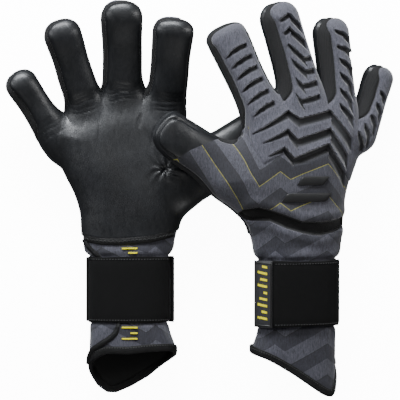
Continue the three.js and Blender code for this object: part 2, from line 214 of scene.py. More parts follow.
# how far each feature stands off the smooth skin, or sinks into it
FOAM_STEP = 0.9
FOAM_SEAM = 0.5
SIDE_SEAM = 1.0
DIGIT_SEAM = 1.2
ROLL_PUFF = 1.0
ROLL_CREASES = ((-6, 0.45), (-2.5, 0.3), (1.5, 0.45), (5, 0.175), (9, 0.15))  # place along a digit, depth
THUMB_TIP_STEP = 0.5
THUMB_TIP_SEAM = 1.5
THUMB_TIP_RADIUS = 17.0
ELASTIC_SINK = 2.6
ELASTIC_PUFF = 1.5
PALM_STEP = 1.4
GATHER_SINK = 3.0
CREASE_SINK = 0.45
STRAP_PUFF = 1.2
STRAP_PLEAT = 0.55


# ---------------------------------------------------------------- small maths
def smooth(x, low, high):
    """0 below low, 1 above high, and a smooth step between."""
    t = np.clip((x - low) / (high - low), 0, 1)
    return t * t * (3 - 2 * t)


def line(points, x):
    """The height at x of a line drawn through points."""
    points = np.array(points, float)
    return np.interp(x, points[:, 0], points[:, 1])


def bell(x, width):
    return np.exp(-((x / width) ** 2))


def unit(v):
    """v scaled to length 1, or each of its rows."""
    return v / np.maximum(np.linalg.norm(v, axis=-1, keepdims=True), 1e-9)


def join(a, b, reach):
    """The union of two solids, rounded over reach where they meet."""
    h = np.clip(0.5 + 0.5 * (b - a) / reach, 0, 1)
    return b * (1 - h) + a * h - reach * h * (1 - h)


def roundness(u, v, power):
    return (np.abs(u) ** power + np.abs(v) ** power) ** (1 / power)


def ripples(p, size, seed, waves=9):
    """Soft unevenness: a few plane waves about size mm long, always the same for one seed."""
    rng = np.random.default_rng(seed)
    total = np.zeros(len(p))
    for _ in range(waves):
        way = rng.normal(size=3)
        way *= 2 * math.pi / (size * rng.uniform(0.7, 1.5) * np.linalg.norm(way))
        total += np.sin(p @ way + rng.uniform(0, 2 * math.pi))
    return total / math.sqrt(waves)


def spline(points, steps, closed=False):
    """A smooth curve through points, of any number of columns."""
    p = np.array(points, float)
    if closed:
        p = np.vstack([p[-1], p, p[0], p[1]])
    else:
        p = np.vstack([2 * p[0] - p[1], p, 2 * p[-1] - p[-2]])
    out = []
    for a, b, c, d in zip(p[:-3], p[1:-2], p[2:-1], p[3:]):
        for t in np.arange(steps) / steps:
            out.append(0.5 * (2 * b + (c - a) * t + (2 * a - 5 * b + 4 * c - d) * t**2
                              + (3 * b - a - 3 * c + d) * t**3))
    if not closed:
        out.append(p[-2])
    return np.array(out)


def outline_distance(x, y, loop):
    """How far (x, y) is outside a closed loop; less than 0 inside it."""
    best = np.full(len(x), 1e9)
    inside = np.zeros(len(x), bool)
    for (ax, ay), (bx, by) in zip(loop, np.roll(loop, -1, 0)):
        ex, ey = bx - ax, by - ay
        t = np.clip(((x - ax) * ex + (y - ay) * ey) / (ex * ex + ey * ey), 0, 1)
        best = np.minimum(best, (x - ax - t * ex) ** 2 + (y - ay - t * ey) ** 2)
        if ey:
            inside ^= ((ay > y) != (by > y)) & (x < ax + ex * (y - ay) / ey)
    return np.sqrt(best) * np.where(inside, -1, 1)


# ---------------------------------------------------------------- the wrist
def cuff_point(angle, y, out):
    """A point of the cuff's surface, moved out from it. Angle 0 is the little-finger side, pi/2 the back."""
    angle, y, out = np.broadcast_arrays(np.asarray(angle, float), y, out)
    c, s = np.cos(angle), np.sin(angle)
    x = CUFF_HALF[0] * np.sign(c) * np.abs(c) ** (2 / CUFF_POWER)
    z = CUFF_HALF[1] * np.sign(s) * np.abs(s) ** (2 / CUFF_POWER)
    n = cuff_normal(angle)
    return np.stack([x + n[..., 0] * out, y, z + n[..., 2] * out], -1)


def cuff_normal(angle):
    c, s = np.cos(angle), np.sin(angle)
    power = 2 - 2 / CUFF_POWER
    nx = np.sign(c) * np.abs(c) ** power / CUFF_HALF[0]
    nz = np.sign(s) * np.abs(s) ** power / CUFF_HALF[1]
    return unit(np.stack([nx, np.zeros_like(nx), nz], -1))


def cuff_angle(x, z):
    u = np.sign(x) * (np.abs(x) / CUFF_HALF[0]) ** (CUFF_POWER / 2)
    w = np.sign(z) * (np.abs(z) / CUFF_HALF[1]) ** (CUFF_POWER / 2)
    return np.arctan2(w, u)


def hem_height(glove_name, x, z):
    """Where the cuff ends: lowest behind, on the little-finger side."""
    back = smooth(z / CUFF_HALF[1], -1, 1)
    return line(HEM_FRONT, x) * (1 - back) + line(HEM_BACK[glove_name], x) * back


def cuff_flare(angle, y):
    """How far the end of the cuff stands off the wrist, most of all on the thumb side."""
    thumb = np.clip(-np.cos(angle), 0, 1) ** 3
    return (THUMB_FLARE * thumb + FLARE) * smooth(-y, 74, 97)


# ---------------------------------------------------------------- one glove's skin
def cad_points(node):
    mesh = frame["nodes"][node].data
    co = np.empty(len(mesh.vertices) * 3)
    mesh.vertices.foreach_get("co", co)
    return co.reshape(-1, 3) * 1000


class Digit:
    """A finger or thumb: its own frame, its shape and its grooves."""

    def __init__(self, glove, name):
        self.name = name
        self.length, self.base, self.tip, self.square, shift = DIGIT_SHAPE[glove.name][name]
        points = glove.local(cad_points(f"{glove.name}_{name}_gusset"))
        middle = points.mean(0)
        _, ways = np.linalg.eigh(np.cov((points - middle).T))
        along, up = ways[:, 2], ways[:, 0]
        along = along * np.sign(along @ middle)
        up = up * np.sign(up[2])
        across = np.cross(along, up)
        self.axes = np.array([across, along, up])
        q = (points - middle) @ self.axes.T
        low, high = q.min(0), q.max(0)
        start = np.array([(low[0] + high[0]) / 2 + shift, low[1] - 1.5, (low[2] + high[2]) / 2])
        self.origin = middle + start @ self.axes
        self.twist = math.radians(TWIST[glove.name][name])
        self.half = THUMB_HALF if name == "thumb" else FINGER_HALF
        self.root = DIGIT_ROOT[glove.name][name]

    def local(self, p):
        return (p - self.origin) @ self.axes.T

    def world(self, q):
        """From the digit's own frame to the glove's."""
        return np.asarray(q, float) @ self.axes + self.origin

    def field(self, p):
        """Less than 0 inside the digit, and about the distance from its surface outside."""
        x, y, z = self.local(p).T
        t = np.clip(y / self.length, 0, 1)
        wide = (self.base + (self.tip - self.base) * t) / 2
        deep = self.half * (1 - DIGIT_TAPER * t)
        if self.name == "thumb":
            end = THUMB_END[0] + (THUMB_END[1] - THUMB_END[0]) * smooth(x / wide, -1, 1)
        else:
            waist = bell(t - WAIST_AT, WAIST_REACH)
            wide = wide * (1 - WAIST_WIDTH * waist)
            deep = deep * (1 - WAIST_DEPTH * waist)
            end = wide * (INDEX_END if self.name == "index" else FINGER_END)
        cap = np.maximum(y - (self.length - end), 0) / end
        tail = np.maximum(-y - self.root, 0) / 14
        ring = roundness(x / wide, z / deep, DIGIT_POWER)
        return (roundness(ring, cap + tail, self.square) - 1) * self.half

    def seam(self, p):
        """Height above the digit's turned middle plane, and half the width of its mesh strip."""
        x, y, z = self.local(p).T
        turn = self.twist * smooth(y, DIGIT_START, 14)
        up = z * np.cos(turn) + x * np.sin(turn)
        if self.name == "thumb":
            return up, THUMB_GUSSET_HALF * smooth(y, DIGIT_START, 8)
        narrow = 1 - GUSSET_NARROWING * smooth(y, self.length - 16, self.length - 3)
        return up, GUSSET_HALF * smooth(y, DIGIT_START - 1, 8) * narrow


class Glove:
    def __init__(self, name):
        self.name = name
        wrist = JOINTS[f"{name}_wrist_bend"]
        x = np.array(wrist["axis"], float)
        y = np.array(JOINTS[f"{name}_strap_peel"]["axis"], float)
        z = -np.array(JOINTS[f"{name}_thumb_swing"]["axis"], float)
        self.axes = np.array([x, y, z])
        self.origin = np.array(wrist["pos_m"]) * 1000 + z * WRIST_HINGE_DEPTH
        self.loop = spline(OUTLINE_START + LITTLE_SIDE[name] + OUTLINE_END, 4, closed=True)
        self.digits = {d: Digit(self, d) for d in DIGITS}

    def local(self, world_mm):
        return (world_mm - self.origin) @ self.axes.T

    def world(self, p):
        """From the glove's own frame, mm, to the row frame, metres."""
        return (np.asarray(p, float) @ self.axes + self.origin) / 1000

    def hand_field(self, p):
        x, y, z = p.T
        away = outline_distance(x, y, self.loop) if len(p) < 4000 else self.outline(x, y)
        deep = WRIST_HALF + (HAND_HALF - WRIST_HALF) * smooth(y, 0, 35)
        deep = deep - (HAND_HALF - KNUCKLE_HALF) * smooth(y, 70, 118)
        ball = bell(np.hypot(x - THUMB_BALL[0], y - THUMB_BALL[1]), THUMB_BALL_REACH)
        deep = deep + np.where(z < 0, 1.0, 0) * ball
        inner = np.maximum(away + HAND_ROUND, 0)
        return deep / HAND_ROUND * (np.sqrt(inner**2 + (z * HAND_ROUND / deep) ** 2) - HAND_ROUND)

    def outline(self, x, y):
        """outline_distance looked up from a fine table, which is quicker for many points."""
        if not hasattr(self, "table"):
            self.tx, self.ty = np.arange(-150, 150, 1.0), np.arange(-160, 260, 1.0)
            gx, gy = np.meshgrid(self.tx, self.ty, indexing="ij")
            self.table = outline_distance(gx.ravel(), gy.ravel(), self.loop).reshape(gx.shape)
        u = np.clip(x - self.tx[0], 0, len(self.tx) - 1.001)
        v = np.clip(y - self.ty[0], 0, len(self.ty) - 1.001)
        i, j = u.astype(int), v.astype(int)
        fu, fv = u - i, v - j
        t = self.table
        return ((t[i, j] * (1 - fu) + t[i + 1, j] * fu) * (1 - fv)
                + (t[i, j + 1] * (1 - fu) + t[i + 1, j + 1] * fu) * fv)

    def field(self, p):
        """The whole skin: hand, digits and cuff in one."""
        x, y, z = p.T
        hand = self.hand_field(p)
        fingers = self.digits["little"].field(p)
        for d in FINGERS[1:]:
            fingers = join(fingers, self.digits[d].field(p), FINGER_JOIN)
        body = join(hand, fingers, KNUCKLE_JOIN)
        body = join(body, self.digits["thumb"].field(p), THUMB_JOIN)
        cuff = (roundness(x / CUFF_HALF[0], z / CUFF_HALF[1], CUFF_POWER) - 1) * CUFF_HALF[1]
        share = smooth(y, -19, 0)
        return cuff * (1 - share) + body * share

    def slope(self, p):
        """How fast the field grows along X, Y and Z."""
        step = 0.4
        change = [self.field(p + step * way) - self.field(p - step * way) for way in np.eye(3)]
        return np.stack(change, -1) / (2 * step)

    def normal(self, p):
        return unit(self.slope(p))

    def on_skin(self, x, y, side):
        """The point of the skin above (side 1) or below (side -1) a place in the glove's plane."""
        x, y = np.broadcast_arrays(np.asarray(x, float), np.asarray(y, float))
        low, high = np.zeros(x.size), np.full(x.size, 70.0)
        for _ in range(22):
            mid = (low + high) / 2
            inside = self.field(np.stack([x.ravel(), y.ravel(), mid * side], -1)) < 0
            low, high = np.where(inside, mid, low), np.where(inside, high, mid)
        return np.stack([x.ravel(), y.ravel(), low * side], -1)

    # ------------------------------------------------ where the seams and grooves run
    def middle(self, p):
        """Height over the seam between palm and back. Near a finger it turns into the finger's own seam."""
        height = p[:, 2].copy()
        near = np.stack([self.digits[d].field(p) for d in DIGITS], 1)
        first = near.argmin(1)
        for k, d in enumerate(DIGITS):
            up, _ = self.digits[d].seam(p)
            share = smooth(self.digits[d].local(p)[:, 1], -36, DIGIT_START) * (first == k)
            height = height * (1 - share) + up * share
        return height

    def fields(self, p):
        """One column for each line that the skin is cut along; the cut runs where the column is 0."""
        x, y, z = p.T
        near = np.stack([self.digits[d].field(p) for d in DIGITS], 1)
        columns = {"split": self.middle(p), "top": y - CUFF_TOP_BACK, "edge": y - line(PALM_EDGE, x) + 1.0}
        columns["hem"] = y - hem_height(self.name, x, z)
        columns["elastic"] = self.elastic(p)
        for k, d in enumerate(DIGITS):
            digit = self.digits[d]
            q = digit.local(p)
            others = np.delete(near, k, 1).min(1)
            up, half = digit.seam(p)
            off = 2 * np.maximum(near[:, k] - 3, 0) + 2 * np.maximum(DIGIT_START - 3 - q[:, 1], 0)
            columns[d] = np.maximum(DIGIT_START - q[:, 1], near[:, k] - others)
            columns[d + "_upper"] = up - half + off
            columns[d + "_lower"] = up + half + off
        cap = self.digits["thumb"].local(p)
        columns["cap"] = cap[:, 1] - line(THUMB_CAP, cap[:, 0]) + np.where(cap[:, 2] < -9, 30, 0)
        edge, wall = self.groove_fields(p)
        columns["groove"] = edge
        columns["wall"] = wall
        return columns

    def elastic(self, p):
        x, y, z = p.T
        return np.max([y - line(ELASTIC_TOP, x), line(ELASTIC_LOW, x) - y, 2.5 - z, -55.5 - x], 0)

    def each_groove(self, p):
        """For each groove: how far inside its upper edge, its width there, and how far past its ends."""
        near = np.stack([self.digits[d].field(p) for d in FINGERS], 1).argmin(1)
        rows = [(p[:, 0], p[:, 1], p[:, 2] - 5, g) for g in HAND_GROOVES]
        for k, d in enumerate(FINGERS):
            digit = self.digits[d]
            q = digit.local(p)
            up, half = digit.seam(p)
            side = np.where((near == k) & (q[:, 1] > -24), np.minimum(up - half - 2.0, q[:, 2]), -9.0)
            rows += [(q[:, 0], q[:, 1], side, g) for g in FINGER_GROOVES[d]]
        for x, y, side, (points, w0, w1) in rows:
            points = np.array(points, float)
            k = np.clip(np.searchsorted(points[:, 0], x) - 1, 0, len(points) - 2)
            dx = points[k + 1, 0] - points[k, 0]
            slope = (points[k + 1, 1] - points[k, 1]) / dx
            into = (points[k, 1] + slope * (x - points[k, 0]) - y) / np.sqrt(1 + slope**2)
            t = np.clip((x - points[0, 0]) / (points[-1, 0] - points[0, 0]), 0, 1)
            width = GROOVE_SCALE * (w0 + (w1 - w0) * np.minimum(t * GROOVE_TAPER, 1))
            past = np.max([points[0, 0] - x, x - points[-1, 0], -side], 0)
            yield into, width, past

    def groove_fields(self, p):
        edge, wall = np.full((2, len(p)), 9.0)
        for into, width, past in self.each_groove(p):
            edge = np.minimum(edge, np.max([-into, into - width, past], 0))
            wall = np.minimum(wall, np.max([GROOVE_WALL - into, into - width, past], 0))
        return np.minimum(edge, 9), np.minimum(wall, 9)

    def moulding(self, p):
        """How deep each point lies in a groove, and how far up the raised edge above one, 0 to 1."""
        depth, lip = np.zeros((2, len(p)))
        for into, width, past in self.each_groove(p):
            size = np.clip(width / GROOVE_FULL, 0.3, 1) * np.clip(-past / 1.6, 0, 1)
            wall = np.clip(into / GROOVE_WALL, 0, 1)
            floor = np.maximum(width, 1.8)
            rise = 1 - smooth(into, 0.6 * floor, 1.2 * floor)
            depth = np.maximum(depth, wall * rise * size)
            lip = np.maximum(lip, np.where(into < 0, np.exp(into / LIP_REACH), 0) * size)
        return depth, lip

    # ------------------------------------------------ how far the finished surface stands off the skin
    def relief(self, p, f):
        """The whole of it but the moulding, mm."""
        back = smooth(f["split"], -1, 1)
        total = 0.2 * ripples(p, 40, 3) * smooth(p[:, 1], 0, 20)
        total += self.back_relief(p, f, back)
        total += self.digit_relief(p, f)
        total += self.thumb_tip_relief(p, f)
        total += self.elastic_relief(p, f)
        total += self.palm_relief(p, f, back)
        return total + self.cuff_relief(p)

    def back_relief(self, p, f, back):
        """The step up to the moulded foam, and the seam down the side of the hand."""
        x, y, _ = p.T
        slope = line(FOAM_EDGE, x + 0.5) - line(FOAM_EDGE, x - 0.5)
        foam = (y - line(FOAM_EDGE, x)) / np.sqrt(1 + slope**2)
        step = FOAM_STEP * smooth(foam, -0.9, 1.3) - FOAM_SEAM * bell(foam + 0.3, 1.3)
        off_digits = smooth(np.min([f[d] for d in DIGITS], 0), -1, 3)
        seam = SIDE_SEAM * bell(f["split"], 1.3) * smooth(y, -2, 10) * off_digits
        return step * back * smooth(x, -48, -45) - seam

    def digit_relief(self, p, f):
        """The seams beside each mesh strip, and the puffed roll with creases across it."""
        total = np.zeros(len(p))
        wander = 1.2 * ripples(p, 16, 11)
        for d in DIGITS:
            across, along, _ = self.digits[d].local(p).T
            mine = smooth(-f[d], -1, 3)
            seam = bell(f[d + "_upper"], 1.1) + bell(f[d + "_lower"], 1.1)
            if d == "thumb":
                seam = seam * smooth(-f["cap"], 0, 3)
            roll = smooth(-f[d + "_lower"], 0, 4) * mine
            total += ROLL_PUFF * roll * smooth(along, 2, 14) - DIGIT_SEAM * seam * mine
            for at, deep in ROLL_CREASES:
                total -= deep * bell(along - at + wander, 0.8) * roll * smooth(np.abs(across), 16, 2)
        return total

    def thumb_tip_relief(self, p, f):
        """The seam round the tip of the thumb."""
        thumb = self.digits["thumb"]
        x, y, z = thumb.local(p).T
        reach = np.maximum(y - thumb.length + 18, 0)
        to_edge = 16 * (1 - roundness(x / THUMB_TIP_RADIUS, reach / THUMB_TIP_RADIUS, 2.3))
        tip = smooth(z, 1, 4) * smooth(y, thumb.length - 34, thumb.length - 24) * smooth(-f["thumb"], 0, 3)
        return (THUMB_TIP_STEP * smooth(to_edge, 1.2, 3.0) - THUMB_TIP_SEAM * bell(to_edge - 1.0, 1.0)) * tip

    def elastic_relief(self, p, f):
        """The elastic draws the back in, and the cloth either side of it puffs out."""
        x, y, z = p.T
        band = f["elastic"]
        beside = (band > 0) * smooth(z, 1, 6) * smooth(x, -57, -48)
        folds = ripples(np.stack([x, y * 0.25, z * 0.4], -1), 7, 5)
        puff = ELASTIC_PUFF * bell(band - 4.5, 5.0) + 0.25 * folds * bell(band - 1.5, 3.0)
        return puff * beside - ELASTIC_SINK * smooth(-band, -0.3, 1.8)

    def palm_relief(self, p, f, back):
        """The foam palm stands proud of the cuff, is gathered near the thumb and creased near the fingers."""
        x, y, z = p.T
        away = np.hypot(x - GATHER[0], y - GATHER[1])
        turn = np.arctan2(y - GATHER[1], x - GATHER[0])
        rays = np.sin(turn * 8 + 2.2 * ripples(p, 20, 8))
        gather = (0.42 * rays - 0.3) * bell(away - 4, 12) - GATHER_SINK * bell(away, 3.2)
        creases = ripples(np.stack([x, y * 0.35, z * 0.2], -1), 6, 21)
        near_fingers = bell(y - 108 + 0.004 * (x - 5) ** 2, 16)
        folds = CREASE_SINK * smooth(creases, 0.6, 1.8) * near_fingers
        step = PALM_STEP * smooth(f["edge"], -0.2, 2.2)
        return (step + (gather - folds) * smooth(-z, 4, 9)) * (1 - back)

    def cuff_relief(self, p):
        """The cuff is squeezed by the strap, and loose above and below it."""
        x, y, z = p.T
        angle = cuff_angle(x, z)
        total = cuff_flare(angle, y)
        for at, way in ((STRAP[1], 1), (STRAP[0], -1)):
            beyond = (y - at) * way
            puff = smooth(beyond, 0, 4.5) * bell(np.maximum(beyond - 4.5, 0), 13)
            pleat = np.sin(angle * 9 + 2.0 * np.sin(angle * 2.0 + at) + 0.05 * beyond)
            share = 1 if way < 0 else smooth(-y, -2, 8)
            total += (STRAP_PUFF + STRAP_PLEAT * pleat) * puff * share
        return total * (1 - smooth(y, -6, 6))


# ---------------------------------------------------------------- cutting a mesh
def cut(table, tri, column):
    """Splits triangles where that column of the table changes sign. New rows are interpolated."""
    value = table[:, column]
    value[np.abs(value) < SNAP] = 0.0
    sign = np.sign(value)[tri]
    cross = sign * np.roll(sign, -1, 1) < 0
    number = cross.sum(1)
    if not number.any():
        return table, tri
    face, corner = np.nonzero(cross)
    a, b = tri[face, corner], tri[face, (corner + 1) % 3]
    ends = np.sort(np.stack([a, b], 1), 1)
    ends, inverse = np.unique(ends, axis=0, return_inverse=True)
    inverse = inverse.ravel()
    va, vb = value[ends[:, 0]], value[ends[:, 1]]
    t = (va / (va - vb))[:, None]
    fresh = table[ends[:, 0]] * (1 - t) + table[ends[:, 1]] * t
    fresh[:, column] = 0.0
    at = np.full(tri.shape, -1)
    at[face, corner] = len(table) + inverse
    out = [tri[number == 0]]
    for k in range(3):
        p, q, r = tri[:, k], tri[:, (k + 1) % 3], tri[:, (k + 2) % 3]
        one = (number == 1) & cross[:, k]
        m = at[one, k]
        out.append(np.stack([p[one], m, r[one]], 1))
        out.append(np.stack([m, q[one], r[one]], 1))
        two = (number == 2) & cross[:, k] & cross[:, (k + 2) % 3]
        m, w = at[two, k], at[two, (k + 2) % 3]
        out.append(np.stack([p[two], m, w], 1))
        out.append(np.stack([m, q[two], r[two]], 1))
        out.append(np.stack([m, r[two], w], 1))
    return np.vstack([table, fresh]), np.vstack(out)


def trace(glove):
    """The smooth skin as a fine triangle mesh, in the glove's frame."""
    tips = [digit.world([x, digit.length + 3, z])
            for digit in glove.digits.values() for x in (-22, 22) for z in (-14, 14)]
    low = np.min([*tips, (-60, -146, -26)], 0) - 2
    high = np.max([*tips, (72, 120, 26)], 0) + 2
    axes = [np.arange(a, b, GRID) for a, b in zip(low, high)]
    block = np.empty([len(a) for a in axes], np.float32)
    for i in range(0, len(axes[0]), 16):
        g = np.meshgrid(axes[0][i:i + 16], axes[1], axes[2], indexing="ij")
        block[i:i + 16] = glove.field(np.stack([v.ravel() for v in g], -1)).reshape(g[0].shape)
    grid = openvdb.FloatGrid(5.0)
    grid.copyFromArray(block)
    points, quads = grid.convertToQuads(isovalue=0.0)
    p = points.astype(float) * GRID + low
    quads = quads.astype(np.int64)
    for _ in range(3):
        slope = glove.slope(p)
        step = slope * (glove.field(p) / np.maximum((slope**2).sum(1), 0.05))[:, None]
        p = p - np.clip(step, -1, 1)
    tri = np.vstack([quads[:, [0, 1, 2]], quads[:, [0, 2, 3]]])
    return p, tri if volume(p, tri) > 0 else tri[:, ::-1]


def corner_normals(p, tri, limit=38):
    """A normal for each triangle corner, shared by faces that meet at less than limit degrees."""
    face = np.cross(p[tri[:, 1]] - p[tri[:, 0]], p[tri[:, 2]] - p[tri[:, 0]])
    facing = unit(face)
    owner = np.repeat(np.arange(len(tri)), 3)
    vert = tri.ravel()
    order = np.argsort(vert, kind="stable")
    start = np.searchsorted(vert[order], np.arange(len(p) + 1))
    count = (start[1:] - start[:-1])[vert]
    rows = np.repeat(np.arange(len(vert)), count)
    within = np.arange(len(rows)) - np.repeat(np.cumsum(count) - count, count)
    other = owner[order[start[vert][rows] + within]]
    near = (facing[owner[rows]] * facing[other]).sum(1) > math.cos(math.radians(limit))
    total = np.zeros((len(vert), 3))
    for k in range(3):
        total[:, k] = np.bincount(rows, weights=face[other, k] * near, minlength=len(vert))
    return unit(total)


def volume(p, tri):
    """Six times the volume inside closed triangles. It is less than 0 if they face inwards."""
    return np.einsum("ij,ij->i", p[tri[:, 0]], np.cross(p[tri[:, 1]], p[tri[:, 2]])).sum()


# ---------------------------------------------------------------- making Blender meshes
def new_mesh(name, co_m, faces, sizes, materials, index=None, rest=None, emboss=None, sharp=38):
    """A mesh object from flat arrays: faces is every face's vertices in a row, sizes how many each has."""
    mesh = bpy.data.meshes.new(name)
    mesh.vertices.add(len(co_m))
    mesh.vertices.foreach_set("co", np.asarray(co_m, np.float32).ravel())
    mesh.loops.add(len(faces))
    mesh.loops.foreach_set("vertex_index", np.asarray(faces, np.int32))
    mesh.polygons.add(len(sizes))
    starts = np.concatenate([[0], np.cumsum(sizes)[:-1]])
    mesh.polygons.foreach_set("loop_start", starts.astype(np.int32))
    for material in materials:
        mesh.materials.append(material)
    if index is not None:
        mesh.polygons.foreach_set("material_index", np.asarray(index, np.int32))
    mesh.update(calc_edges=True)
    mesh.polygons.foreach_set("use_smooth", np.ones(len(sizes), bool))
    if rest is not None:
        data = mesh.attributes.new("rest", "FLOAT_VECTOR", "POINT")
        data.data.foreach_set("vector", np.asarray(rest, np.float32).ravel())
    if emboss is not None:
        data = mesh.attributes.new("emboss", "FLOAT", "POINT")
        data.data.foreach_set("value", np.asarray(emboss, np.float32))
    mesh.set_sharp_from_angle(angle=math.radians(sharp))
    obj = bpy.data.objects.new(name, mesh)
    bpy.context.scene.collection.objects.link(obj)
    return obj


class Skin:
    """One glove's finished surface, ready to be taken apart into panels."""

    def __init__(self, glove):
        self.glove = glove
        p, tri = trace(glove)
        columns = glove.fields(p)
        names = list(columns)
        table = np.column_stack([p] + [columns[n] for n in names])
        for k in range(len(names)):
            table, tri = cut(table, tri, 3 + k)
        corners = table[tri]
        area = np.linalg.norm(np.cross(corners[:, 1, :3] - corners[:, 0, :3],
                                       corners[:, 2, :3] - corners[:, 0, :3]), axis=1)
        tri = tri[area > 1e-7]
        self.rest = table[:, :3]
        self.f = {n: table[:, 3 + k] for k, n in enumerate(names)}
        self.side = {n: self.f[n][tri].mean(1) for n in names}
        self.tri = tri
        self.n = glove.normal(self.rest)
        self.emboss, lip = glove.moulding(self.rest)
        depth = glove.relief(self.rest, self.f) + LIP_HEIGHT * lip - GROOVE_DEPTH * self.emboss
        self.p = self.rest + self.n * depth[:, None]
        self.normals = corner_normals(self.p, tri)
        self.label = self.labels()

    def labels(self):
        s = self.side
        label = np.full(len(self.tri), "palm", dtype=object)
        back = s["split"] > 0
        label[back] = "backhand"
        label[back & (s["elastic"] < 0)] = "elastic"
        label[back & (s["top"] < 0)] = "cuff"
        label[~back & (s["edge"] < 0)] = "cuff"
        for d in DIGITS:
            mine = s[d] < 0
            up, low = s[d + "_upper"] > 0, s[d + "_lower"] < 0
            cap = (s["cap"] > 0) if d == "thumb" else np.zeros(len(up), bool)
            label[mine] = d + "_gusset"
            label[mine & up & ~cap] = d + "_back"
            label[mine & (low | cap)] = d + "_roll"
        label[s["hem"] < 0] = "gone"
        return label

    def panel(self, name, labels, thick, mat, out=0.0):
        """A closed panel: the outer face, a lined inner face thick mm below it, and a rim joining the two."""
        picked = np.nonzero(np.isin(self.label, labels))[0]
        tri = self.tri[picked]
        used, tri = np.unique(tri, return_inverse=True)
        tri = tri.reshape(-1, 3)
        n = len(used)
        outer = self.p[used] + self.n[used] * out
        inner = self.p[used] + self.n[used] * (out - thick)
        a, b = tri.ravel(), np.roll(tri, -1, 1).ravel()
        low, high = np.minimum(a, b), np.maximum(a, b)
        key = low.astype(np.int64) * n + high
        _, back, count = np.unique(key, return_inverse=True, return_counts=True)
        rim = np.nonzero(count[back.ravel()] == 1)[0]
        a, b = a[rim], b[rim]
        quads = np.stack([b, a, a + n, b + n], 1)
        faces = np.concatenate([tri.ravel(), (tri[:, ::-1] + n).ravel(), quads.ravel()])
        sizes = np.concatenate([np.full(2 * len(tri), 3), np.full(len(quads), 4)])
        index = np.concatenate([np.zeros(len(tri)), np.ones(len(tri)), np.zeros(len(quads))])
        rest = np.tile(self.rest[used], (2, 1))
        emboss = np.tile(self.emboss[used], 2)
        co = self.glove.world(np.vstack([outer, inner]))
        obj = new_mesh(name, co, faces, sizes, [mat, LINING], index, rest, emboss)
        normals = np.zeros((len(faces), 3))
        picked_corners = (picked[:, None] * 3 + np.arange(3)).ravel()
        normals[: 3 * len(tri)] = self.normals[picked_corners] @ self.glove.axes
        obj.data.normals_split_custom_set(normals.tolist())
        return obj

    def seam_lines(self, one, two, least=8.0):
        """The lines where two kinds of panel meet, as (points, normals) in the glove's frame."""
        first = self.tri[np.isin(self.label, one)]
        second = self.tri[np.isin(self.label, two)]

        def edges(tri):
            pairs = np.sort(np.vstack([tri[:, [0, 1]], tri[:, [1, 2]], tri[:, [2, 0]]]), 1)
            return {tuple(pair) for pair in pairs.tolist()}

        shared = edges(first) & edges(second)
        links = {}
        for a, b in sorted(shared):
            links.setdefault(a, []).append(b)
            links.setdefault(b, []).append(a)
        lines = []
        left = set(links)
        starts = sorted(v for v in links if len(links[v]) == 1) + sorted(links)
        for start in starts:
            if start not in left:
                continue
            path = [start]
            left.discard(start)
            while True:
                following = [v for v in links[path[-1]] if v in left]
                if not following:
                    break
                path.append(following[0])
                left.discard(following[0])
            p = self.p[path]
            if len(path) > 3 and np.linalg.norm(np.diff(p, axis=0), axis=1).sum() > least:
                lines.append((p, self.n[path]))
        return lines


def even(p, n, gap):
    """Points and normals at even distances along a line, with the direction of the line at each."""
    length = np.concatenate([[0], np.cumsum(np.linalg.norm(np.diff(p, axis=0), axis=1))])
    at = np.arange(gap / 2, length[-1], gap)

    def along(distance, values):
        return np.stack([np.interp(distance, length, column) for column in values.T], 1)

    return along(at, p), unit(along(at, n)), unit(along(at + gap, p) - along(at - gap, p))


def smoothed(p, times=6):
    q = p.copy()
    for _ in range(times):
        q[1:-1] = (q[:-2] + 2 * q[1:-1] + q[2:]) / 4
    return q


def stitch_row(glove, name, lines, gap=2.6, long=1.9, thick=0.42, lift=0.1, zigzag=0.0):
    """Thread laid along lines in short stitches, each a small closed bead that is longer than it is wide."""
    co, faces = [], []
    rings, sides = 4, 6
    for p, n in lines:
        place, normal, way = even(smoothed(p), n, gap)
        across = unit(np.cross(way, normal))
        for k, (c, up, along, over) in enumerate(zip(place + normal * lift, normal, way, across)):
            if zigzag:
                along = unit(along + over * (zigzag if k % 2 else -zigzag))
                over = np.cross(along, up)
            start = len(co)
            co.append(c - along * long / 2)
            for r in range(rings):
                t = (r + 0.5) / rings * 2 - 1
                wide = thick * math.sqrt(1 - t * t * 0.85)
                for s in range(sides):
                    turn = 2 * math.pi * s / sides
                    rim = over * math.cos(turn) + up * 0.8 * math.sin(turn)
                    co.append(c + along * t * long / 2 + wide * rim)
            co.append(c + along * long / 2)
            last = start + rings * sides + 1
            for s in range(sides):
                s2 = (s + 1) % sides
                faces.append((start, start + 1 + s2, start + 1 + s))
                for r in range(rings - 1):
                    i = start + 1 + r * sides
                    faces.append((i + s, i + s2, i + sides + s2, i + sides + s))
                i = start + 1 + (rings - 1) * sides
                faces.append((last, i + s, i + s2))
    sizes = [len(face) for face in faces]
    flat = [v for face in faces for v in face]
    return new_mesh(name, glove.world(np.array(co)), flat, sizes, [THREAD], rest=np.array(co), sharp=80)


def rings_along(middle, across, out, section):
    """A ring of points for each point of a line. A section holds pairs: how far across, how far out."""
    return middle[:, None] + across[:, None] * section[..., :1] + out[:, None] * section[..., 1:]


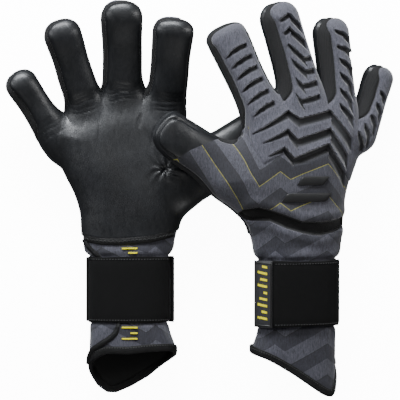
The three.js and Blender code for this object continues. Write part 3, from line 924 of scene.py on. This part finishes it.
def sweep(glove, name, rows, mat, closed=False, sharp=50):
    """A closed tube or band: rows is an array of rings of points in the glove's frame."""
    rows = np.asarray(rows, float)
    count, around = rows.shape[:2]
    i, j = np.meshgrid(np.arange(count if closed else count - 1), np.arange(around), indexing="ij")
    a = i * around + j
    b = i * around + (j + 1) % around
    c = ((i + 1) % count) * around + (j + 1) % around
    d = ((i + 1) % count) * around + j
    quads = np.stack([a, b, c, d], -1).reshape(-1, 4)
    co = rows.reshape(-1, 3)
    sizes = [4] * len(quads)
    faces = quads.ravel().tolist()
    if not closed:
        for ring in (np.arange(around)[::-1], np.arange(around) + (count - 1) * around):
            faces += ring.tolist()
            sizes.append(around)
    if volume(co, quads[:, [0, 1, 2]]) + volume(co, quads[:, [0, 2, 3]]) < 0:
        turned, k = [], 0
        for size in sizes:
            turned += faces[k:k + size][::-1]
            k += size
        faces = turned
    return new_mesh(name, glove.world(co), faces, sizes, [mat], rest=co, sharp=sharp)


def slab_section(low, high, inner, outer, corner=0.45, bulge=0.0, steps=7):
    """A rounded rectangle: (height, offset) pairs round a strip from low to high and inner to outer."""
    corner = min(corner, (outer - inner) / 2.01, (high - low) / 2.01)
    out = []
    for cy, co, start in ((high - corner, outer - corner, 0), (low + corner, outer - corner, 1),
                          (low + corner, inner + corner, 2), (high - corner, inner + corner, 3)):
        for k in range(4):
            t = math.pi / 2 * (start + k / 3)
            out.append((cy + corner * math.cos(t), co + corner * math.sin(t)))
        target = {0: (low + corner, outer), 2: (high - corner, inner)}.get(start)
        if target:
            y0 = out[-1][0]
            for k in range(1, steps):
                s = k / steps
                puff = bulge * (1 - (2 * s - 1) ** 4) if start == 0 else 0
                out.append((y0 + (target[0] - y0) * s, target[1] + puff))
    return np.array(out)


def around_cuff(glove, name, section, start, end, mat, count, closed=False, shape=None, sharp=50):
    """A band round the wrist, from one angle to another. shape may move each (angle, height, offset)."""
    rows = []
    for angle in np.linspace(start, end, count, endpoint=not closed):
        y, out = section.T
        if shape:
            y, out = shape(angle, y, out)
        rows.append(cuff_point(np.full(len(y), angle), y, out))
    return sweep(glove, name, rows, mat, closed, sharp)


# ---------------------------------------------------------------- materials
def material(name):
    mat = bpy.data.materials.new(name)
    mat.use_nodes = True
    tree = mat.node_tree
    return mat, tree, tree.nodes["Principled BSDF"]


def connect(tree, target, inputs):
    """Links each named input of a node, or sets it where the value is a plain number or colour."""
    for key, value in inputs.items():
        if isinstance(value, bpy.types.NodeSocket):
            tree.links.new(value, target.inputs[key])
        else:
            target.inputs[key].default_value = value


def node(tree, kind, inputs=None, **settings):
    made = tree.nodes.new(kind)
    for key, value in settings.items():
        setattr(made, key, value)
    connect(tree, made, inputs or {})
    return made


def sums(tree, operation, a, b=0.0):
    return node(tree, "ShaderNodeMath", {0: a, 1: b}, operation=operation).outputs[0]


def mix(tree, factor, a, b):
    return node(tree, "ShaderNodeMix", {0: factor, 6: a, 7: b}, data_type="RGBA").outputs[2]


def ramp(tree, value, low, high, bottom, top, **settings):
    """value moved from low..high to bottom..top."""
    inputs = {0: value, 1: low, 2: high, 3: bottom, 4: top}
    return node(tree, "ShaderNodeMapRange", inputs, **settings).outputs[0]


def scaled(tree, colour, tone):
    return node(tree, "ShaderNodeVectorMath", {0: colour, "Scale": tone}, operation="SCALE").outputs[0]


def grey(value, blue=1.0):
    """A linear colour from an sRGB level out of 255, with blue a little stronger."""
    level = value / 255
    level = level / 12.92 if level <= 0.04045 else ((level + 0.055) / 1.055) ** 2.4
    return (level, level, level * blue, 1)


def rest_place(tree):
    """The place on the glove at rest, in mm, so that a pattern stays put when the glove moves."""
    return node(tree, "ShaderNodeAttribute", attribute_name="rest").outputs["Vector"]


def noise(tree, place, scale, detail=2.0, rough=0.5, stretch=(1, 1, 1)):
    moved = node(tree, "ShaderNodeMapping", {"Vector": place, "Scale": stretch}).outputs[0]
    inputs = {"Vector": moved, "Scale": scale, "Detail": detail, "Roughness": rough}
    return node(tree, "ShaderNodeTexNoise", inputs).outputs["Fac"]


def bump(tree, height, strength, distance, onto=None):
    inputs = {"Height": height, "Strength": strength, "Distance": distance}
    if onto is not None:
        inputs["Normal"] = onto
    return node(tree, "ShaderNodeBump", inputs).outputs[0]


def curve(tree, value, points):
    """A drawn line as a node: its height at value. The points run from the lowest value to the highest."""
    low, high = points[0][0], points[-1][0]
    bottom, top = min(y for _, y in points), max(y for _, y in points)
    made = node(tree, "ShaderNodeFloatCurve", {"Value": ramp(tree, value, low, high, 0.0, 1.0)})
    made.mapping.use_clip = False
    drawn = made.mapping.curves[0]
    places = [((x - low) / (high - low), (y - bottom) / (top - bottom)) for x, y in points]
    drawn.points[0].location = places[0]
    drawn.points[1].location = places[-1]
    for x, y in places[1:-1]:
        drawn.points.new(x, y)
    for point in drawn.points:
        point.handle_type = "VECTOR"
    made.mapping.update()
    return ramp(tree, made.outputs[0], 0.0, 1.0, bottom, top, clamp=False)


ZIGZAG = [(-112, 170), (-58.7, 90.1), (-52.7, 79.9), (-47.7, 68.1), (-40.1, 56), (-20.6, 69.1),
          (-11.1, 61.8), (-0.6, 66.2), (24, 75.3), (35.3, 62.6), (40.3, 55.4), (70, 20)]
CUFF_ZIGZAG = [(-112, -76), (-60, -34), (-34.5, -11.7), (-23.9, -2.3), (-15.6, -9), (24.4, 11.5),
               (41.1, -2.7), (70, -26)]
ELASTIC_MIDDLE = [(-112, 40), (-60, 30), (-48, 30.5), (-30, 29.5), (-15, 23.5), (0, 18.5), (18, 16.8),
                  (32, 19), (48, 23), (70, 23)]
PERIOD = 28.0
LIGHT_STRIPE = 15.0
DARK_LINE = 0.4  # half width of the dark line between the stripes
YELLOW_LINE = 0.3  # and of the yellow one
LINE_GREY = grey(24, 1.2)
LINE_YELLOW = (0.22, 0.205, 0.01, 1)
CUFF_GREYS = (grey(53, 1.3), grey(30, 1.45))  # light and dark stripe
HAND_GREYS = (grey(52, 1.28), grey(26, 1.42))
FOAM_GREY = grey(57, 1.28)


def zigzag(tree, x, y, points, greys, on_hand=False):
    """The printed zigzag: a light and a dark stripe under each line, parted by a dark line. On the hand it
    widens towards the thumb, and has a yellow line too."""
    t = sums(tree, "SUBTRACT", y, curve(tree, x, points))
    if on_hand:
        t = sums(tree, "DIVIDE", t, ramp(tree, x, -50.0, -38.0, 1.6, 1.0))
    band = sums(tree, "MODULO", sums(tree, "ADD", t, PERIOD * 10), PERIOD)
    low = sums(tree, "GREATER_THAN", PERIOD - LIGHT_STRIPE, band)
    colour = mix(tree, low, *greys)
    off = sums(tree, "ABSOLUTE", sums(tree, "SUBTRACT", band, PERIOD - LIGHT_STRIPE))
    colour = mix(tree, sums(tree, "LESS_THAN", off, DARK_LINE), colour, LINE_GREY)
    if on_hand:
        off = sums(tree, "ABSOLUTE", sums(tree, "SUBTRACT", band, PERIOD - 0.4))
        shine = sums(tree, "MULTIPLY", sums(tree, "LESS_THAN", off, YELLOW_LINE), 0.75)
        colour = mix(tree, shine, colour, LINE_YELLOW)
    return colour


def heather(name, cuff_only=False, glow=0.35):
    """Marled knit. The zigzag is printed on it, except on the moulded foam, and grooves are darker, which is
    partly their dark cloth and partly painted shade.
    """
    mat, tree, shader = material(name)
    place = rest_place(tree)
    x, y, _ = node(tree, "ShaderNodeSeparateXYZ", {0: place}).outputs
    streak = noise(tree, place, 1.0, 4.0, 0.75, (1.1, 0.22, 1.1))
    fleck = noise(tree, place, 1.0, 3.0, 0.7, (0.8, 2.4, 0.8))
    colour = zigzag(tree, x, y, CUFF_ZIGZAG, CUFF_GREYS)
    tone = sums(tree, "ADD", sums(tree, "MULTIPLY", streak, 1.1), sums(tree, "MULTIPLY", fleck, 0.6))
    tone = ramp(tree, tone, 0.62, 1.08, 0.35, 1.85)
    if not cuff_only:
        upper = zigzag(tree, x, y, ZIGZAG, HAND_GREYS, on_hand=True)
        above = sums(tree, "GREATER_THAN", y, curve(tree, x, ELASTIC_MIDDLE))
        colour = mix(tree, above, colour, upper)
        moulded = sums(tree, "GREATER_THAN", y, curve(tree, x, FOAM_EDGE))
        colour = mix(tree, moulded, colour, FOAM_GREY)
        # darker the deeper a point lies in a groove: partly the grooves' dark cloth, partly painted shade
        deep = node(tree, "ShaderNodeAttribute", attribute_name="emboss").outputs["Fac"]
        tone = sums(tree, "MULTIPLY", tone, ramp(tree, deep, 0.06, 0.6, 1.0, 0.12))
    weave = {"Vector": place, "Scale": 0.42, "Distortion": 1.5, "Detail": 2.0, "Detail Scale": 2.0}
    knit = node(tree, "ShaderNodeTexWave", weave, bands_direction="X").outputs["Fac"]
    connect(tree, shader, {
        "Base Color": scaled(tree, colour, tone),
        "Normal": bump(tree, fleck, 0.35, 0.0005, bump(tree, knit, 0.3, 0.0004)),
        "Roughness": 0.72,
        "Sheen Weight": glow,
        "Sheen Roughness": 0.45,
        "Specular IOR Level": 0.3,
    })
    return mat


def latex_material():
    mat, tree, shader = material("latex")
    place = rest_place(tree)
    cloud = noise(tree, place, 0.045, 3.0, 0.6)
    pores = {"Vector": place, "Scale": 1.1}
    grain = node(tree, "ShaderNodeTexVoronoi", pores, feature="SMOOTH_F1").outputs[0]
    wrinkle = noise(tree, place, 0.32, 5.0, 0.65, (1, 0.45, 1))
    connect(tree, shader, {
        "Base Color": scaled(tree, (0.0045, 0.005, 0.006), ramp(tree, cloud, 0.35, 0.7, 0.75, 1.35)),
        "Normal": bump(tree, wrinkle, 0.35, 0.0006, bump(tree, grain, 0.12, 0.0003)),
        "Roughness": ramp(tree, wrinkle, 0.3, 0.7, 0.36, 0.52),
        "Specular IOR Level": 0.4,
        "Coat Weight": 0.08,
        "Coat Roughness": 0.25,
    })
    return mat


def net_material():
    mat, tree, shader = material("mesh")
    net = {"Vector": rest_place(tree), "Scale": 1.25, "Randomness": 0.35}
    cells = node(tree, "ShaderNodeTexVoronoi", net, feature="F1").outputs[0]
    connect(tree, shader, {
        "Base Color": scaled(tree, (0.0062, 0.0062, 0.0064), ramp(tree, cells, 0.12, 0.5, 0.35, 1.7)),
        "Normal": bump(tree, cells, 0.5, 0.0005),
        "Roughness": 0.85,
        "Specular IOR Level": 0.2,
        "Sheen Weight": 0.03,
    })
    return mat


def ribbed(name, colour, direction, scale, roughness=0.85, sheen=0.15, strength=0.5):
    """Woven elastic or tape: one colour with fine ribs."""
    mat, tree, shader = material(name)
    place = rest_place(tree)
    rows = {"Vector": place, "Scale": scale, "Distortion": 0.6, "Detail": 1.0}
    ribs = node(tree, "ShaderNodeTexWave", rows, bands_direction=direction).outputs["Fac"]
    fuzz = noise(tree, place, 2.2, 3.0, 0.7)
    connect(tree, shader, {
        "Base Color": scaled(tree, colour[:3], ramp(tree, fuzz, 0.3, 0.7, 0.7, 1.4)),
        "Normal": bump(tree, fuzz, 0.4, 0.0003, bump(tree, ribs, strength, 0.0004)),
        "Roughness": roughness,
        "Specular IOR Level": 0.14,
        "Sheen Weight": sheen,
    })
    return mat


def plain(name, colour, roughness, specular=0.5, sheen=0.0, grain=0.0):
    mat, tree, shader = material(name)
    connect(tree, shader, {
        "Base Color": colour,
        "Roughness": roughness,
        "Specular IOR Level": specular,
        "Sheen Weight": sheen,
    })
    if grain:
        fuzz = noise(tree, rest_place(tree), 1.8, 3.0, 0.6)
        connect(tree, shader, {"Normal": bump(tree, fuzz, grain, 0.0004)})
    return mat


LATEX = latex_material()
KNIT = heather("knit")
CUFF_KNIT = heather("cuff_knit", cuff_only=True, glow=0.25)
NET = net_material()
ELASTIC = ribbed("elastic", grey(9), "X", 0.5)
STRAP_CLOTH = ribbed("strap", grey(8), "Y", 0.9, roughness=0.95, sheen=0.01, strength=0.2)
LOOP = ribbed("hook_loop", grey(24), "DIAGONAL", 1.2, roughness=0.95, sheen=0.5)
BINDING = ribbed("binding", grey(9), "Y", 0.8, roughness=0.5, sheen=0.02, strength=0.3)
LINING = plain("lining", grey(14), 0.9, 0.2, 0.1, 0.3)
BAR = plain("bar", grey(19, 1.05), 0.5, 0.3, 0.0, 0.15)
BADGE = plain("badge", grey(36, 1.1), 0.5, 0.35, 0.0, 0.1)
BADGE_RIM = plain("badge_rim", grey(10), 0.45)
YELLOW = plain("yellow_print", (0.6, 0.53, 0.0, 1), 0.55, 0.2)
THREAD = plain("thread", grey(22), 0.6)


# ---------------------------------------------------------------- putting the pieces on the bodies
def dress(nodes, slot, pad):
    if nodes:
        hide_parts(*nodes)


def done(obj, body, nodes, slot, pad=None):
    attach(obj, body)
    dress(nodes, slot, pad)


def bending(obj, glove, a, b, start, end, nodes, slot, pad=None):
    """Bakes the piece's place into its mesh and hides the CAD parts that it replaces; it is not attached to a
    body and does not bend. start and end are in the glove's frame.
    """
    tuple(glove.world(start))
    tuple(glove.world(end))
    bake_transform(obj)
    dress(nodes, slot, pad)


def digit_bend(glove, d):
    """Where a digit would start to bend, and where it would have fully turned; nothing bends it."""
    digit = glove.digits[d]
    near, far = (-8, 15) if d == "thumb" else (1, 16)
    return digit.world([0, near, 0]), digit.world([0, far, 0])


HAND_PANELS = (  # panel, what it is cut from, thickness, material, CAD node, colour slot, fill
    ("palm", "palm", 2.2, LATEX, "palm_latex", "latex", 0.7),
    ("back_panel", "backhand", 1.8, KNIT, "backhand", "knit", 0.5),
    ("elastic_insert", "elastic", 1.2, ELASTIC, "wrist_elastic", "elastic", None),
)
DIGIT_PANELS = (  # part, thickness, material, colour slot, fill
    ("roll", 2.0, LATEX, "latex", 0.7),
    ("back", 1.8, KNIT, "knit", 0.5),
    ("gusset", 0.9, NET, "mesh", None),
)
WRIST_BEND = ((0, 2, 0), (0, -12, 0))  # where the cuff would start to bend, and where it would have fully turned; nothing bends it


def build_skin(glove):
    g = glove.name
    skin = Skin(glove)
    hand = f"{g}_hand"
    for name, label, thick, mat, replaced, slot, pad in HAND_PANELS:
        done(skin.panel(f"{g}_{name}", label, thick, mat), hand, [f"{g}_{replaced}"], slot, pad)
    lining = skin.panel(f"{g}_lining", ["palm", "backhand", "elastic"], 0.7, LINING, out=-2.5)
    done(lining, hand, [f"{g}_palm_lining", f"{g}_back_lining"], "lining")
    for d in DIGITS:
        start, end = digit_bend(glove, d)
        for part, thick, mat, slot, pad in DIGIT_PANELS:
            piece = skin.panel(f"{g}_{d}_{part}_panel", f"{d}_{part}", thick, mat)
            bending(piece, glove, "hand", d, start, end, [f"{g}_{d}_{part}"], slot, pad)
        lines = [seam for part in ("back", "roll") for seam in skin.seam_lines(f"{d}_{part}", f"{d}_gusset")]
        row = stitch_row(glove, f"{g}_{d}_stitching", lines, lift=0.15)
        bending(row, glove, "hand", d, start, end, (), "binding")
    sleeve = skin.panel(f"{g}_sleeve", "cuff", 1.8, CUFF_KNIT)
    bending(sleeve, glove, "hand", "cuff", *WRIST_BEND, [f"{g}_cuff_sleeve"], "cuff_knit", 0.4)
    side = stitch_row(glove, f"{g}_side_stitching", skin.seam_lines("palm", "backhand"), lift=0.15)
    done(side, hand, (), "binding")


def palm_hem(glove):
    """Piping along the wrist edge of the palm, with a zigzag stitch."""
    g = glove.name
    x = np.linspace(-39.5, 38.5, 90)
    middle = smoothed(glove.on_skin(x, line(PALM_EDGE, x) - 1.8, -1), 4)
    n = glove.normal(middle)
    up = np.cross(n, unit(np.gradient(middle, axis=0)))
    section = slab_section(-3.2, 3.4, -0.8, 1.5, 1.0, 0.35, 4)
    tape = sweep(glove, f"{g}_palm_piping", rings_along(middle, up, n, section), BINDING)
    done(tape, f"{g}_hand", [f"{g}_palm_hem"], "binding")
    row = stitch_row(glove, f"{g}_palm_hem_stitching", [(middle + n * 1.75, n)], 1.8, 2.6, 0.32, zigzag=0.9)
    done(row, f"{g}_hand", (), "binding")


def cuff_hem(glove):
    """Tape folded over the end of the cuff, with its stitching."""
    g = glove.name
    angles = np.linspace(0, 2 * math.pi, 240, endpoint=False)
    edge = cuff_point(angles, 0, 0.0)
    height = hem_height(g, edge[:, 0], edge[:, 2])
    edge = cuff_point(angles, height, cuff_flare(angles, height))
    n = cuff_normal(angles)
    up = np.cross(unit(np.roll(edge, -1, 0) - np.roll(edge, 1, 0)), n)
    up *= np.sign(up[:, 1:2])
    section = slab_section(-0.9, HEM_WIDTH, -2.7, 1.1, 0.9, 0.3, 4)
    tape = sweep(glove, f"{g}_hem_tape", rings_along(edge, up, n, section), BINDING, closed=True)
    done(tape, f"{g}_cuff", [f"{g}_cuff_hem"], "binding")
    stitched = edge + up * (HEM_WIDTH - 1.3) + n * 1.15
    row = stitch_row(glove, f"{g}_hem_stitching", [(stitched, n)], gap=2.4, long=1.7)
    done(row, f"{g}_cuff", (), "binding")


def slit_binding(glove):
    """The binding of the cuff's overlap. It is pressed flat where it runs under the strap."""
    path = spline(SLIT, 10)
    x, y = path.T
    share = np.minimum(np.abs(x) / (CUFF_HALF[0] + 0.8), 0.999)
    z = -CUFF_HALF[1] * (1 - share**CUFF_POWER) ** (1 / CUFF_POWER)
    middle = np.column_stack([path, z])
    top = y > -8
    middle[top] = glove.on_skin(np.minimum(x[top], 40.0), y[top], -1)
    middle = smoothed(middle, 8)
    out = glove.normal(middle)
    middle = middle + out * cuff_flare(cuff_angle(middle[:, 0], middle[:, 2]), middle[:, 1])[:, None]
    over = np.cross(out, unit(np.gradient(middle, axis=0)))
    above = smooth(y, STRAP[0] - 4, STRAP[0] + 2)
    squeezed = (above * (1 - smooth(y, STRAP[1] - 2, STRAP[1] + 4)))[:, None]
    section = np.repeat(slab_section(-2.6, 2.6, -0.8, 1.0, 0.8, 0.9, 4)[None], len(path), 0)
    section[..., 1] = section[..., 1] * (1 - 0.75 * squeezed) + 0.6 * (1 - squeezed)
    tape = sweep(glove, f"{glove.name}_slit_binding", rings_along(middle, over, out, section), BINDING)
    bending(tape, glove, "hand", "cuff", *WRIST_BEND, (), "binding")


def wavy(angle, y, offset):
    """Lets the strap's edges wander by half a millimetre."""
    return y + 0.5 * math.sin(3 * angle + 1) * np.sign(y - 0.5 * sum(STRAP)), offset


def thinning(angle, y, offset):
    """Thins the fold to the outside, where it runs together with the free end."""
    share = smooth(angle / math.pi, *FOLD_THINNING)
    return y, offset + (STRAP_LAYERS["fold"][1] - offset) * 0.6 * share


def strap_layer(glove, name, layer, margin, corner, mat, count, bulge=0.0, **settings):
    """One layer of the strap. margin is how far inside the strap's edges it stays."""
    inner, outer, start, end = STRAP_LAYERS[layer]
    section = slab_section(STRAP[0] + margin, STRAP[1] - margin, inner, outer, corner, bulge)
    full_name = f"{glove.name}_{name}"
    return around_cuff(glove, full_name, section, start * math.pi, end * math.pi, mat, count, **settings)


def strap_stitches(glove, name, start, end, out, count):
    """A row of stitches along both edges of the strap."""
    angle = np.linspace(start * math.pi, end * math.pi, count)
    lines = [(cuff_point(angle, y, out), cuff_normal(angle)) for y in (STRAP[0] + 2.2, STRAP[1] - 2.2)]
    return stitch_row(glove, f"{glove.name}_{name}", lines)


def wrist_strap(glove):
    g = glove.name
    cuff, strap = f"{g}_cuff", f"{g}_strap"
    band = strap_layer(glove, "band", "band", 0, 0.6, STRAP_CLOTH, 200, 0.15, closed=True, shape=wavy)
    done(band, cuff, [f"{g}_strap_band"], "strap")
    done(strap_stitches(glove, "band_stitching", 0.99, 2.1, 2.0, 160), cuff, (), "binding")
    loop = strap_layer(glove, "loop_field", "loop", 3, 0.25, LOOP, 60)
    done(loop, cuff, [f"{g}_loop_patch"], "hook_loop")
    fold = strap_layer(glove, "strap_fold", "fold", 0.4, 1.5, STRAP_CLOTH, 28, shape=thinning, sharp=70)
    turn_from, turn_to = [cuff_point(turn * math.pi, sum(STRAP) / 2, 3.0) for turn in FOLD_TURN]
    bending(fold, glove, "cuff", "strap", turn_from, turn_to, (), "strap")
    flap = strap_layer(glove, "flap", "flap", 0, 0.6, STRAP_CLOTH, 120, 0.2, shape=wavy)
    done(flap, strap, [f"{g}_strap_flap"], "strap")
    done(strap_stitches(glove, "flap_stitching", 0.13, 0.73, 5.05, 120), strap, (), "binding")
    hook = strap_layer(glove, "hook_field", "hook", 3, 0.25, LOOP, 60)
    done(hook, strap, [f"{g}_hook_patch"], "hook_loop")
    plate = strap_layer(glove, "badge_plate", "plate", -0.5, 0.5, BADGE, 40)
    done(plate, strap, [f"{g}_strap_badge"], "badge")
    done(badge_rim(glove), strap, (), "badge")
    done(badge_bars(glove), strap, (), "badge")
    done(cuff_marks(glove), cuff, (), "cuff_knit")


def badge_rim(glove):
    """The moulded frame round the pull tab."""
    low, high = 0.752 * math.pi, 0.953 * math.pi
    corners = [(low, -69.5), (low, -13.5), (high, -13.5), (high, -69.5)]
    points = []
    for (a0, y0), (a1, y1) in zip(corners, corners[1:] + corners[:1]):
        for t in np.arange(24) / 24:
            points.append((a0 + (a1 - a0) * t, y0 + (y1 - y0) * t))
    angle, y = np.array(points).T
    middle = cuff_point(angle, y, STRAP_LAYERS["plate"][1])
    n = cuff_normal(angle)
    over = np.cross(n, unit(np.roll(middle, -1, 0) - np.roll(middle, 1, 0)))
    turn = np.linspace(0, 2 * math.pi, 10, endpoint=False)
    section = np.column_stack([0.75 * np.cos(turn), 0.6 * np.sin(turn)])
    rows = rings_along(middle, over, n, section)
    return sweep(glove, f"{glove.name}_badge_frame", rows, BADGE_RIM, closed=True, sharp=80)


def patches(glove, name, shapes, low, high):
    """Thin raised yellow shapes on the cuff. Each is four (angle, height) corners."""
    co, faces = [], []
    steps = 6
    count = steps + 1
    for corners in shapes:
        a, b, c, d = [np.array(v, float) for v in corners]
        start = len(co)
        for level in (high, low):
            for i in range(count):
                for j in range(count):
                    s, t = i / steps, j / steps
                    angle, y = (a * (1 - s) + b * s) * (1 - t) + (d * (1 - s) + c * s) * t
                    co.append(cuff_point(angle, y, level))

        def face(*places):
            faces.append([start + level * count**2 + i * count + j for i, j, level in places])

        for i in range(steps):
            for j in range(steps):
                face((i, j, 0), (i + 1, j, 0), (i + 1, j + 1, 0), (i, j + 1, 0))
                face((i, j, 1), (i, j + 1, 1), (i + 1, j + 1, 1), (i + 1, j, 1))
            face((i, 0, 0), (i, 0, 1), (i + 1, 0, 1), (i + 1, 0, 0))
            face((0, i, 0), (0, i + 1, 0), (0, i + 1, 1), (0, i, 1))
            face((i + 1, steps, 0), (i + 1, steps, 1), (i, steps, 1), (i, steps, 0))
            face((steps, i, 1), (steps, i + 1, 1), (steps, i + 1, 0), (steps, i, 0))
    co = np.array(co).reshape(-1, 3)
    faces = np.array(faces)
    if volume(co, faces) < 0:
        faces = faces[:, ::-1]
    return new_mesh(name, glove.world(co), faces.ravel(), [4] * len(faces), [YELLOW], rest=co)


def badge_bars(glove):
    """A plain pattern in place of a name: slanted yellow bars of different lengths."""
    shapes = []
    low, high = 0.79 * math.pi, 0.9 * math.pi
    for k, share in enumerate((1.0, 0.55, 1.0, 0.8, 0.35, 1.0, 0.7, 1.0, 0.5)):
        y = -64.5 + k * 5.8
        end = low + (high - low) * share
        rise = 1.4 * share
        shapes.append([(low, y), (end, y + rise), (end, y + 2.0 + rise), (low, y + 2.0)])
    return patches(glove, f"{glove.name}_badge_bars", shapes, 6.0, 6.5)


def cuff_marks(glove):
    """Plain yellow dashes printed on the palm side of the cuff, above and below the strap."""
    shapes = []
    low, high = 1.45 * math.pi, 1.535 * math.pi
    for y, share in ((-5.0, 1.0), (-9.0, 0.6), (-76.0, 1.0), (-81.0, 0.5), (-86.0, 1.0)):
        end = low + (high - low) * share
        shapes.append([(low, y), (end, y), (end, y + 1.3), (low, y + 1.3)])
    return patches(glove, f"{glove.name}_cuff_marks", shapes, 0.6, 2.3)


def bars(glove):
    """Two plain raised rubber bars on the back of the hand."""
    section = slab_section(-BAR_WIDTH / 2, BAR_WIDTH / 2, -3.0, BAR_HEIGHT, 1.0, 0.2, 4)
    for which, (centre, length) in BARS.items():
        rows = []
        for s in np.linspace(-1, 1, 25):
            x = centre[0] + s * length / 2 + section[:, 0] / BAR_WIDTH * BAR_SLANT * 2
            y = centre[1] + section[:, 0] * (1 - 0.12 * abs(s) ** 12)
            shrink = 1 - 0.25 * abs(s) ** 16
            rise = np.where(section[:, 1] > 0, section[:, 1] * shrink, section[:, 1])
            rows.append(glove.on_skin(x, y, 1) + np.outer(rise, (0, 0, 1)))
        obj = sweep(glove, f"{glove.name}_{which}_rubber_bar", rows, BAR, sharp=60)
        done(obj, f"{glove.name}_hand", [f"{glove.name}_{which}_bar"], "bar")


for glove_name in GLOVES:
    the_glove = Glove(glove_name)
    for build in (build_skin, palm_hem, cuff_hem, slit_binding, wrist_strap, bars):
        build(the_glove)


# ---------------------------------------------------------------- floor, light and camera, metres and watts
FLOOR_HALF = 6
FLOOR_GLOW = 12.0
WORLD_GLOW = 0.13
LIGHTS = {  # place, what it points at, size, power, colour
    "sky_panel": ((-0.25, 1.1, 0.62), (0, 0.08, 0), (1.1, 0.4), 56, (0.93, 0.96, 1.0)),
    "top_panel": ((0.1, 0.25, 1.9), (0, 0, 0), (0.9, 0.5), 2.2, (1.0, 0.99, 0.98)),
    "front_panel": ((0.1, -1.3, 0.55), (0, -0.05, 0.02), (1.2, 0.5), 7, (1.0, 1.0, 1.0)),
    "left_panel": ((-1.0, 0.3, 0.6), (0, 0, 0), (0.3, 0.9), 7, (0.95, 0.97, 1.0)),
    "right_panel": ((0.95, 0.35, 0.5), (0.1, 0, 0), (0.25, 0.8), 7, (1.0, 1.0, 1.0)),
}
CENTRE = (-0.0042, -0.0076)  # what the camera looks down on
HEIGHT = 2.5
SPAN = 0.36  # how much fills the picture at SPAN_HEIGHT above the floor
SPAN_HEIGHT = 0.03
SENSOR = 36  # mm


def area_light(name, place, aim, size, power, colour):
    lamp = bpy.data.lights.new(name, "AREA")
    lamp.shape = "RECTANGLE"
    lamp.size, lamp.size_y = size
    lamp.energy = power
    lamp.color = colour
    obj = bpy.data.objects.new(name, lamp)
    bpy.context.scene.collection.objects.link(obj)
    obj.location = place
    obj.rotation_euler = (Vector(aim) - Vector(place)).to_track_quat("-Z", "Y").to_euler()


floor_mesh = bpy.data.meshes.new("floor")
floor_corners = [(x * FLOOR_HALF, y * FLOOR_HALF, 0) for x, y in ((-1, -1), (1, -1), (1, 1), (-1, 1))]
floor_mesh.from_pydata(floor_corners, [], [(0, 1, 2, 3)])
floor = bpy.data.objects.new("floor", floor_mesh)
bpy.context.scene.collection.objects.link(floor)
white, white_tree, white_shader = material("white_floor")
connect(white_tree, white_shader, {
    "Base Color": (1, 1, 1, 1),
    "Roughness": 0.9,
    "Emission Color": (1, 1, 1, 1),
    "Emission Strength": FLOOR_GLOW,
})
floor_mesh.materials.append(white)
floor.visible_diffuse = False  # the pale floor shows behind the gloves, but does not light them from below
floor.visible_glossy = False

world = bpy.data.worlds.new("studio")
bpy.context.scene.world = world
world.use_nodes = True
world.node_tree.nodes["Background"].inputs[0].default_value = (0.95, 0.97, 1.0, 1)
world.node_tree.nodes["Background"].inputs[1].default_value = WORLD_GLOW
for light_name, light_settings in LIGHTS.items():
    area_light(light_name, *light_settings)

camera_data = bpy.data.cameras.new("camera")
camera_data.type = "PERSP"
camera_data.sensor_width = SENSOR
camera_data.lens = SENSOR * (HEIGHT - SPAN_HEIGHT) / SPAN
camera_data.clip_start = 0.1
camera_data.clip_end = 20
camera = bpy.data.objects.new("camera", camera_data)
camera.location = (*CENTRE, HEIGHT)
bpy.context.scene.collection.objects.link(camera)
bpy.context.scene.camera = camera

bpy.context.view_layer.update()
